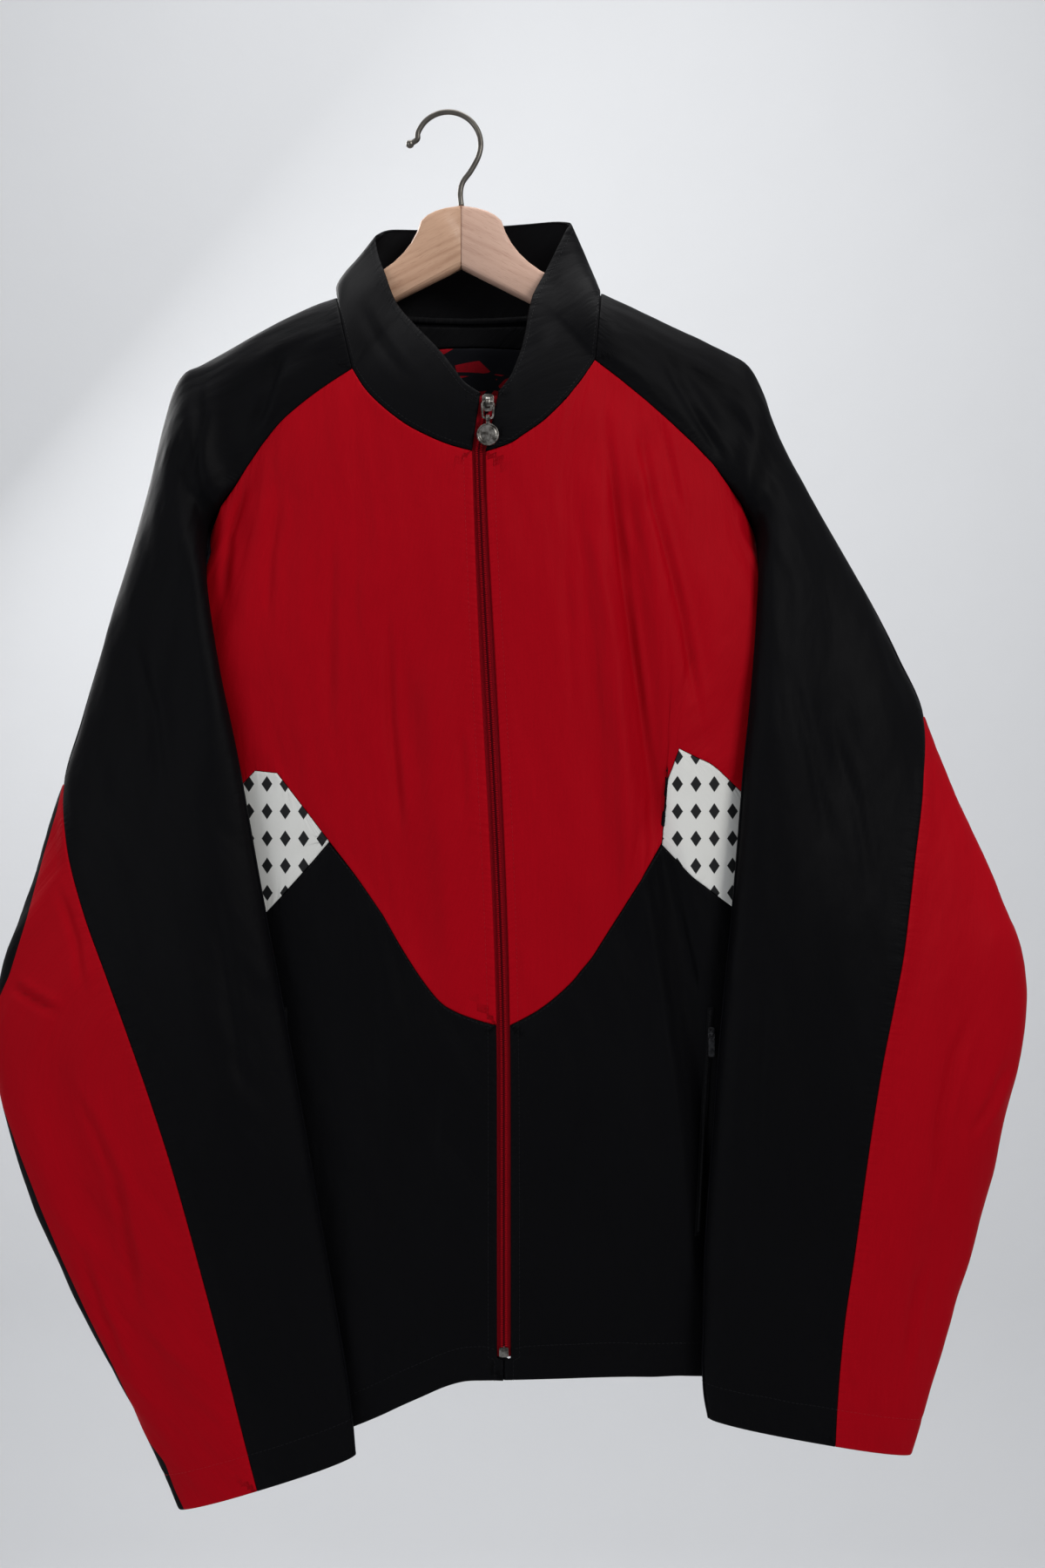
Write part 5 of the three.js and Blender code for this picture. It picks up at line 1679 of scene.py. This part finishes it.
    def _hem_rows(self) -> list[Path]:
        """The row that holds the turned hem."""
        named = ("lower_front_right", "lower_front_left", "back")
        return [self.panels[name].beside(Edge.FOOT, self.hem_depth, 0.02, 0.98) for name in named]

    def _collar_rows(self) -> list[Path]:
        """The rows along the collar's edges."""
        collar = self.panels["collar"]
        return [collar.beside(Edge.TOP, 5 * MM, 0.02, 0.98), collar.beside(Edge.FOOT, 3 * MM, 0.02, 0.98)]

    def _raglan_rows(self) -> list[Path]:
        """The rows beside the chest seam, on its black side."""
        lines = []
        for side in (RIGHT, LEFT):
            front = self.panels[side.of("lower_front")]
            span = (0.45, 0.98) if side is RIGHT else (0.02, 0.55)
            lines.append(front.beside(Edge.TOP, 1.6 * MM, *span))
        return lines

    def declare(self) -> None:
        """Works out which piece each cut piece hangs from, and passes it on to the piece."""
        neighbours = {"chest": "collar_cloth", "lower_front": "chest", "sleeve_gore": "sleeve_front"}
        for node, panel in self.panels.items():
            piece, _, side = node.rpartition("_")
            holder = neighbours.get(piece, "hanger_wood_right" if node == "back" else "back_cloth")
            if holder in ("chest", "sleeve_front"):
                holder = f"{holder}_{side}_cloth"
            if piece in ("sleeve_front", "sleeve_back"):
                holder = f"hanger_wood_{side}"
            panel.declare([holder])


# The front zip


@dataclass
class FrontZip:
    """The front zip: two tapes, the coil, the stop at its foot, and the slider with its link and disc."""

    top: float = -215 * MM
    tooth: tuple[float, float, float] = (2.25 * MM, 1.7 * MM, 0.95 * MM)
    pitch: float = 1.32 * MM
    apart: float = 1.36 * MM
    sunk: float = 0.9 * MM
    cord: float = 1.0 * MM
    cord_sunk: float = 0.35 * MM
    hinge: Vector = field(default_factory=lambda: Vector((30.9, -66.16, -221.0)) * MM)
    link_wide: float = 10 * MM
    link_high: float = 13 * MM
    wire: float = 0.9 * MM
    disc_radius: float = 7.8 * MM

    def build(self) -> None:
        """Makes the zip."""
        for side in (RIGHT, LEFT):
            self._tape(side)
        self._coil()
        self._stop()
        self._slider()
        self._link()
        self._disc()

    def _tape(self, side: Side) -> None:
        """One tape, with the folded corner that shows above the slider."""
        node = side.of("zip_tape")
        mesh = solid_mesh(node)
        bmesh.ops.dissolve_limit(mesh, angle_limit=math.radians(0.5), verts=mesh.verts, edges=mesh.edges)
        dress(shaped(node + "_woven", mesh, Finish.TAPE.paint(), 0.18 * MM), node)

    def _front(self, z: float) -> float:
        """How far forward the tapes' front lies at a height."""
        return self.chain_tree.ray_cast(Vector((ZIP.x(z), -1, z)), Vector((0, 1, 0)))[0].y

    def _coil(self) -> None:
        """The two rows of the closed coil, which lock into each other, over a cord."""
        mesh = solid_mesh("zip_chain", weld=0.0)
        self.chain_tree = BVHTree.FromBMesh(mesh)
        mesh.free()
        low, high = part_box("zip_chain")
        heights = np.linspace(low[2] + 0.2 * MM, high[2] - 0.2 * MM, 160)
        centre = [Vector((ZIP.x(z), self._front(z) + self.sunk, z)) for z in heights]
        rows = Repeat("coil", upright=True)
        lines = []
        for sign, late in ((-1, 0.0), (1, 0.5)):
            shift = Vector((sign * self.apart, 0, late * self.pitch))
            lines.append([point + shift for point in centre])
        dress(rows.along("zip_coil", lines, self.pitch, self.tooth, Finish.COIL.paint(), 8), "zip_chain")
        core = bmesh.new()
        add_tube(core, [point + Vector((0, self.cord_sunk, 0)) for point in centre], self.cord, 8)
        dress(shaped("zip_core", core, Finish.CORD.paint()))

    def _stop(self) -> None:
        """The metal stop, pressed round the coil."""
        low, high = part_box("zip_stop")
        mesh = bmesh.new()
        middle, z = (low[0] + high[0]) / 2, (low[2] + high[2]) / 2
        outline = [(middle + x, z + h) for x, h in rounded_box(high[0] - low[0], high[2] - low[2], 1.2 * MM)]
        add_slab(mesh, outline, high[1], high[1] - low[1])
        for step in (-1.4 * MM, 1.4 * MM):
            ridge = [(middle + x, z + step + h) for x, h in rounded_box(4.6 * MM, 0.7 * MM, 0.3 * MM, 2)]
            add_slab(mesh, ridge, low[1] + 0.2 * MM, 0.45 * MM)
        dress(shaped("zip_stop_metal", mesh, Finish.SILVER.paint(), 0.3 * MM), "zip_stop")

    def _slider(self) -> None:
        """The slider: a shield-shaped front plate with side flanges, an arch for the link and a plate behind."""
        mesh = bmesh.new()
        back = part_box("slider")[1][1]
        rear = self.hinge.y + 3.6 * MM
        x, top = self.hinge.x, self.top
        half = [(0, 0), (2.2, -0.1), (3.5, -0.9), (3.8, -2.6), (3.5, -5.6), (2.7, -9.2), (2.3, -11.4), (1.5, -12)]
        outline = mirrored(half, x, top)
        add_slab(mesh, outline[::-1], rear, 1.3 * MM)
        inner = [(x + (a - x) * 0.72, top - 5.8 * MM + (b - top + 5.8 * MM) * 0.8) for a, b in outline]
        add_slab(mesh, inner[::-1], rear - 1.2 * MM, 0.5 * MM)
        for sign in (-1, 1):
            flange = [Vector((x + sign * a * MM, rear - 0.2 * MM, top + b * MM)) for a, b in half[2:7]]
            add_tube(mesh, flange, 0.5 * MM, 8)
        box = rounded_box(2.4 * MM, 4 * MM, 0.6 * MM, 2)
        add_slab(mesh, [(x + a, top - 2.6 * MM + b) for a, b in box], back - 0.4 * MM, back - rear)
        plate = rounded_box(7.4 * MM, 6.2 * MM, 1.4 * MM)
        add_slab(mesh, [(x + a * 0.95, top - 3.6 * MM + b) for a, b in plate], back, 1.3 * MM)
        root = Vector((x, rear - 1.2 * MM, self.hinge.z))
        add_arch(mesh, root, (3.4 * MM, 3.5 * MM), 0.62 * MM, (-1.2, -0.6, 0.0, 0.6, 1.2), 15)
        dress(shaped("slider_metal", mesh, Finish.SILVER.paint(), 0.16 * MM), "slider")

    def _link(self) -> None:
        """The link between slider and disc: a rounded frame of square wire with a waist."""
        mesh = bmesh.new()
        wide, high = self.link_wide - 2 * self.wire, self.link_high - 2 * self.wire
        middle = self.hinge.z - high / 2
        outline = rounded_box(wide, high, 2.0 * MM, 6)
        loop = [Vector((self.hinge.x + x * (1 - 0.12 * (z < 0)), self.hinge.y, middle + z)) for x, z in outline]
        add_tube(mesh, loop, self.wire * 0.92, 10, closed=True)
        dress(shaped("pull_link_metal", mesh, Finish.SILVER.paint()), "pull_link", "pull_link")

    def _disc(self) -> None:
        """The disc: a raised rim and a plain ring in front, and an eye for the link."""
        mesh = bmesh.new()
        eye_z = self.hinge.z - self.link_high + 2 * self.wire
        centre = Vector((self.hinge.x, self.hinge.y, eye_z - 11.2 * MM))
        r = self.disc_radius / MM
        face = [(0, 0.6), (2.2, 0.56), (4.0, 0.46), (5.2, 0.34), (5.4, 0.5), (5.7, 0.5), (5.9, 0.34)]
        rim = [(r - 1.35, 0.34), (r - 1.1, 0.84), (r - 0.7, 0.96), (r - 0.35, 0.9), (r - 0.1, 0.6)]
        rear = [(r, 0), (r - 0.1, -0.6), (r - 0.5, -0.86), (r - 1.2, -0.86), (r - 1.6, -0.6), (0, -0.6)]
        add_turned(mesh, centre, [(a * MM, b * MM) for a, b in face + rim + rear])
        eye = [
            Vector((self.hinge.x, self.hinge.y + 1.95 * MM * math.sin(a), eye_z + 1.95 * MM * math.cos(a)))
            for a in np.linspace(0, 2 * math.pi, 21)[:-1]
        ]
        for shift in (-0.8, 0.0, 0.8):
            add_tube(mesh, [p + Vector((shift * MM, 0, 0)) for p in eye], 0.6 * MM, 8, closed=True)
        neck = [(self.hinge.x + x, eye_z - 3 * MM + z) for x, z in rounded_box(2.4 * MM, 2.6 * MM, 0.5 * MM, 2)]
        add_slab(mesh, neck, self.hinge.y + 0.7 * MM, 1.4 * MM)
        made = shaped("pull_disc_metal", mesh, Finish.SILVER.paint())
        soften(made, 0.06 * MM, 2, 40)
        dress(made, "pull_disc", "pull_disc")


# The pockets


@dataclass
class SidePocket:
    """A zipped pocket slit with its small slider and pull."""

    side: Side
    pull_body: str
    tooth: tuple[float, float, float] = (2.0 * MM, 1.1 * MM, 0.85 * MM)
    pitch: float = 1.1 * MM

    def build(self, rows: Repeat) -> None:
        """Makes the pocket's zip, slider and pull.

        Args:
            rows: what sets a small solid along a line.
        """
        self._zip(rows)
        self._slider()
        self._pull()

    def _zip(self, rows: Repeat) -> None:
        """The woven strip in the slit and its coil."""
        node = self.side.of("pocket_zip")
        mesh = solid_mesh(node)
        tree = BVHTree.FromBMesh(mesh)
        strip = shaped(node + "_woven", mesh, Finish.BLACK_TAPE.paint(), 0.12 * MM)
        top, foot = Shell.pockets[0 if self.side is RIGHT else 1]
        line = []
        for share in np.linspace(0.02, 0.98, 60):
            x, z = (top[0] + (foot[0] - top[0]) * share) * MM, (top[1] + (foot[1] - top[1]) * share) * MM
            hit = tree.ray_cast(Vector((x, -1, z)), Vector((0, 1, 0)))[0]
            line.append(Vector((x, hit.y - 0.1 * MM, z)))
        lines = [[p + Vector((s * 0.5 * MM, 0, (s > 0) * self.pitch / 2)) for p in line[::-1]] for s in (-1, 1)]
        coil = rows.along(self.side.of("pocket_coil"), lines, self.pitch, self.tooth, Finish.BLACK_COIL.paint(), 7)
        dress(coil)
        dress(strip, node)

    def _slider(self) -> None:
        """The small slider, with the arch that its pull hangs in."""
        node = self.side.of("pocket_slider")
        low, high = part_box(node)
        x, z = (low[0] + high[0]) / 2, (low[2] + high[2]) / 2
        mesh = bmesh.new()
        half = [(0, 4), (1.4, 3.9), (2.2, 3.1), (2.3, 1.4), (1.9, -1.6), (1.5, -3.6), (0.9, -4)]
        add_slab(mesh, mirrored(half, x, z)[::-1], high[1], 1.1 * MM)
        root = Vector((x, high[1] - 1.1 * MM, z))
        add_arch(mesh, root, (2.3 * MM, 2.35 * MM), 0.45 * MM, (-0.6, 0.0, 0.6), 12)
        dress(shaped(node + "_metal", mesh, Finish.GUNMETAL.paint(), 0.12 * MM), node)

    def _pull(self) -> None:
        """The pull: a flat tab with a slot at its top."""
        node = self.side.of("pocket_pull")
        low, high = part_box(node)
        x, y = (low[0] + high[0]) / 2, (low[1] + high[1]) / 2
        wide, tall = high[0] - low[0], high[2] - low[2]
        mesh = bmesh.new()
        eye = rounded_box(wide - 0.9 * MM, 4.1 * MM, 1.4 * MM, 5)
        add_tube(mesh, [Vector((x + a, y, high[2] - 2.5 * MM + b)) for a, b in eye], 0.45 * MM, 8, closed=True)
        tab = rounded_box(wide * 0.86, tall - 4.4 * MM, 1.1 * MM, 4)
        add_slab(mesh, [(x + a, (low[2] + high[2] - 4.4 * MM) / 2 + b) for a, b in tab], high[1], high[1] - low[1])
        made = shaped(node + "_metal", mesh, Finish.GUNMETAL.paint(), 0.16 * MM)
        dress(made, node, self.pull_body)


# The hanger


@dataclass
class Hanger:
    """The wooden hanger and its hook."""

    wire: float = 2 * MM
    ball: float = 3 * MM
    bend: tuple[float, float, float] = (1.0, -21.5, 23.5)
    middle: float = 10.5 * MM
    rounding: float = 0.7 * MM
    glue: tuple[float, float, float] = (0.34 * MM, 42 * MM, 12.9 * MM)

    def build(self) -> None:
        """Makes both halves of the wood, the joint between them, and the hook."""
        for side, finish in ((RIGHT, Finish.WOOD_RIGHT), (LEFT, Finish.WOOD_LEFT)):
            self._half(side, finish)
        self._joint()
        self._hook()

    def _joint(self) -> None:
        """The thin glued joint between the halves."""
        wide, tall, deep = self.glue
        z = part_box(RIGHT.of("hanger_wood"))[1][2] - tall / 2 - self.rounding
        mesh = bmesh.new()
        corners = [(self.middle + a * wide / 2, z + b * tall / 2) for a, b in ((-1, -1), (1, -1), (1, 1), (-1, 1))]
        add_slab(mesh, corners, deep / 2, deep)
        dress(shaped("hanger_joint", mesh, Finish.GLUE.paint()))

    def _half(self, side: Side, finish: Finish) -> None:
        """One half of the wood, with its edges rounded."""
        node = side.of("hanger_wood")
        mesh = solid_mesh(node, 2 * WELD)
        bmesh.ops.dissolve_limit(mesh, angle_limit=math.radians(1.5), verts=mesh.verts, edges=mesh.edges)
        joint = min(abs(v.co.x - self.middle) for v in mesh.verts) + 0.05 * MM
        sharp = [edge for edge in mesh.edges if edge.calc_face_angle(0) > math.radians(SHARP_EDGE)]
        rounded = [edge for edge in sharp if any(abs(v.co.x - self.middle) > joint for v in edge.verts)]
        bmesh.ops.bevel(
            mesh, geom=rounded, offset=self.rounding, segments=3, profile=0.5, affect="EDGES", clamp_overlap=True
        )
        dress(shaped(node + "_beech", mesh, finish.paint()), node)

    def _hook(self) -> None:
        """The hook: drawn wire with a ball at its tip."""
        x, z, r = self.bend
        arc = [(x + r * math.cos(math.radians(a)), z + r * math.sin(math.radians(a))) for a in np.linspace(158, -22, 9)]
        stem = [(17.5, -40.5), (11.5, -49), (9.7, -57), (10.5, -66.1)]
        corners = [Vector((a, 0, b)) * MM for a, b in [(-26.7, -21.3), (-21.5, -17.8), *arc, *stem]]
        mesh = bmesh.new()
        add_tube(mesh, curve_path(corners, 150), self.wire, 20)
        tip = corners[0]
        ball = bmesh.ops.create_uvsphere(mesh, u_segments=24, v_segments=16, radius=self.ball)
        bmesh.ops.translate(mesh, verts=ball["verts"], vec=tip)
        dress(shaped("hook_wire", mesh, Finish.STEEL.paint()), "hook")


# The room


WALL_Y = 2.4
MIDDLE = (0.05, 0.0, -0.5)
WHITE = (1.0, 1.0, 1.0)


@dataclass(frozen=True)
class Lamp:
    """A soft square light: where it stands, what it points at, its width, power and colour."""

    name: str
    place: tuple[float, float, float]
    target: tuple[float, float, float]
    size: float
    power: float
    colour: Colour


LAMPS = (
    Lamp("key", (1.5, -1.75, 0.8), MIDDLE, 0.9, 30, (1.0, 0.985, 0.96)),
    Lamp("fill", (-1.8, -1.7, -0.1), MIDDLE, 1.8, 15, (0.95, 0.975, 1.0)),
    Lamp("top", (0.1, 0.2, 1.7), MIDDLE, 1.6, 12, WHITE),
    Lamp("behind", (-1.4, 1.5, 0.7), MIDDLE, 1.2, 40, WHITE),
    Lamp("wall", (0.0, 0.5, 1.8), (0.0, WALL_Y, -1.4), 1.8, 34, WHITE),
)


@dataclass
class Studio:
    """A pale room with soft light, and the camera at the picture's viewing angle."""

    eye: tuple[float, float, float] = (0.0548, -1.4, -0.4845)
    lens: float = 44.4
    floor_z: float = -2.3
    ceiling_z: float = 5.0
    half_room: float = 26.0
    sky: Colour = (0.86, 0.88, 0.92)
    sky_strength: float = 0.4

    def build(self) -> None:
        """Makes the camera, the room and the lights."""
        lens = bpy.data.cameras.new("camera")
        lens.lens, lens.sensor_width = self.lens, 36
        camera = bpy.data.objects.new("camera", lens)
        camera.location, camera.rotation_euler = self.eye, (math.pi / 2, 0, 0)
        bpy.context.collection.objects.link(camera)
        bpy.context.scene.camera = camera
        bpy.context.scene.view_settings.view_transform = "Standard"
        self._room()
        for lamp in LAMPS:
            self._light(lamp)

    def _room(self) -> None:
        """The floor, the wall far behind and the light all round."""
        plaster = Plaster("pale_plaster", linear(214, 215, 217)).make()
        low, far = self.floor_z, WALL_Y
        mesh = bmesh.new()
        cove = [(far - 0.8, low), (far - 0.4, low + 0.06), (far - 0.08, low + 0.36), (far, low + 0.8)]
        bend = [(-self.half_room, low), *cove, (far, self.ceiling_z)]
        lines = [[mesh.verts.new((x, y, z)) for y, z in bend] for x in (-self.half_room, self.half_room)]
        for i in range(len(bend) - 1):
            mesh.faces.new([lines[0][i], lines[1][i], lines[1][i + 1], lines[0][i + 1]])
        room = shaped("room", mesh, plaster)
        world = bpy.data.worlds.new("daylight")
        world.use_nodes = True
        sky = world.node_tree.nodes["Background"].inputs
        sky[0].default_value, sky[1].default_value = (*self.sky, 1), self.sky_strength
        bpy.context.scene.world = world

    def _light(self, lamp: Lamp) -> None:
        """Adds a soft square light that points at a place."""
        data = bpy.data.lights.new(lamp.name, "AREA")
        data.size, data.energy, data.color = lamp.size, lamp.power, lamp.colour
        made = bpy.data.objects.new(lamp.name, data)
        made.location = lamp.place
        made.rotation_euler = (Vector(lamp.target) - Vector(lamp.place)).to_track_quat("-Z", "Y").to_euler()
        bpy.context.collection.objects.link(made)


def main() -> None:
    """Builds the whole piece in order."""
    logging.basicConfig(level=logging.INFO, format="%(message)s")
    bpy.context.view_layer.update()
    Studio().build()
    shell = Shell()
    shell.build()
    shell.close_underarms()
    shell.sew()
    FrontZip().build()
    rows = Repeat("pocket_coil", upright=True)
    SidePocket(RIGHT, "jacket").build(rows)
    SidePocket(LEFT, "pocket_pull_left").build(rows)
    Hanger().build()
    shell.declare()


if __name__ == "__main__":
    main()
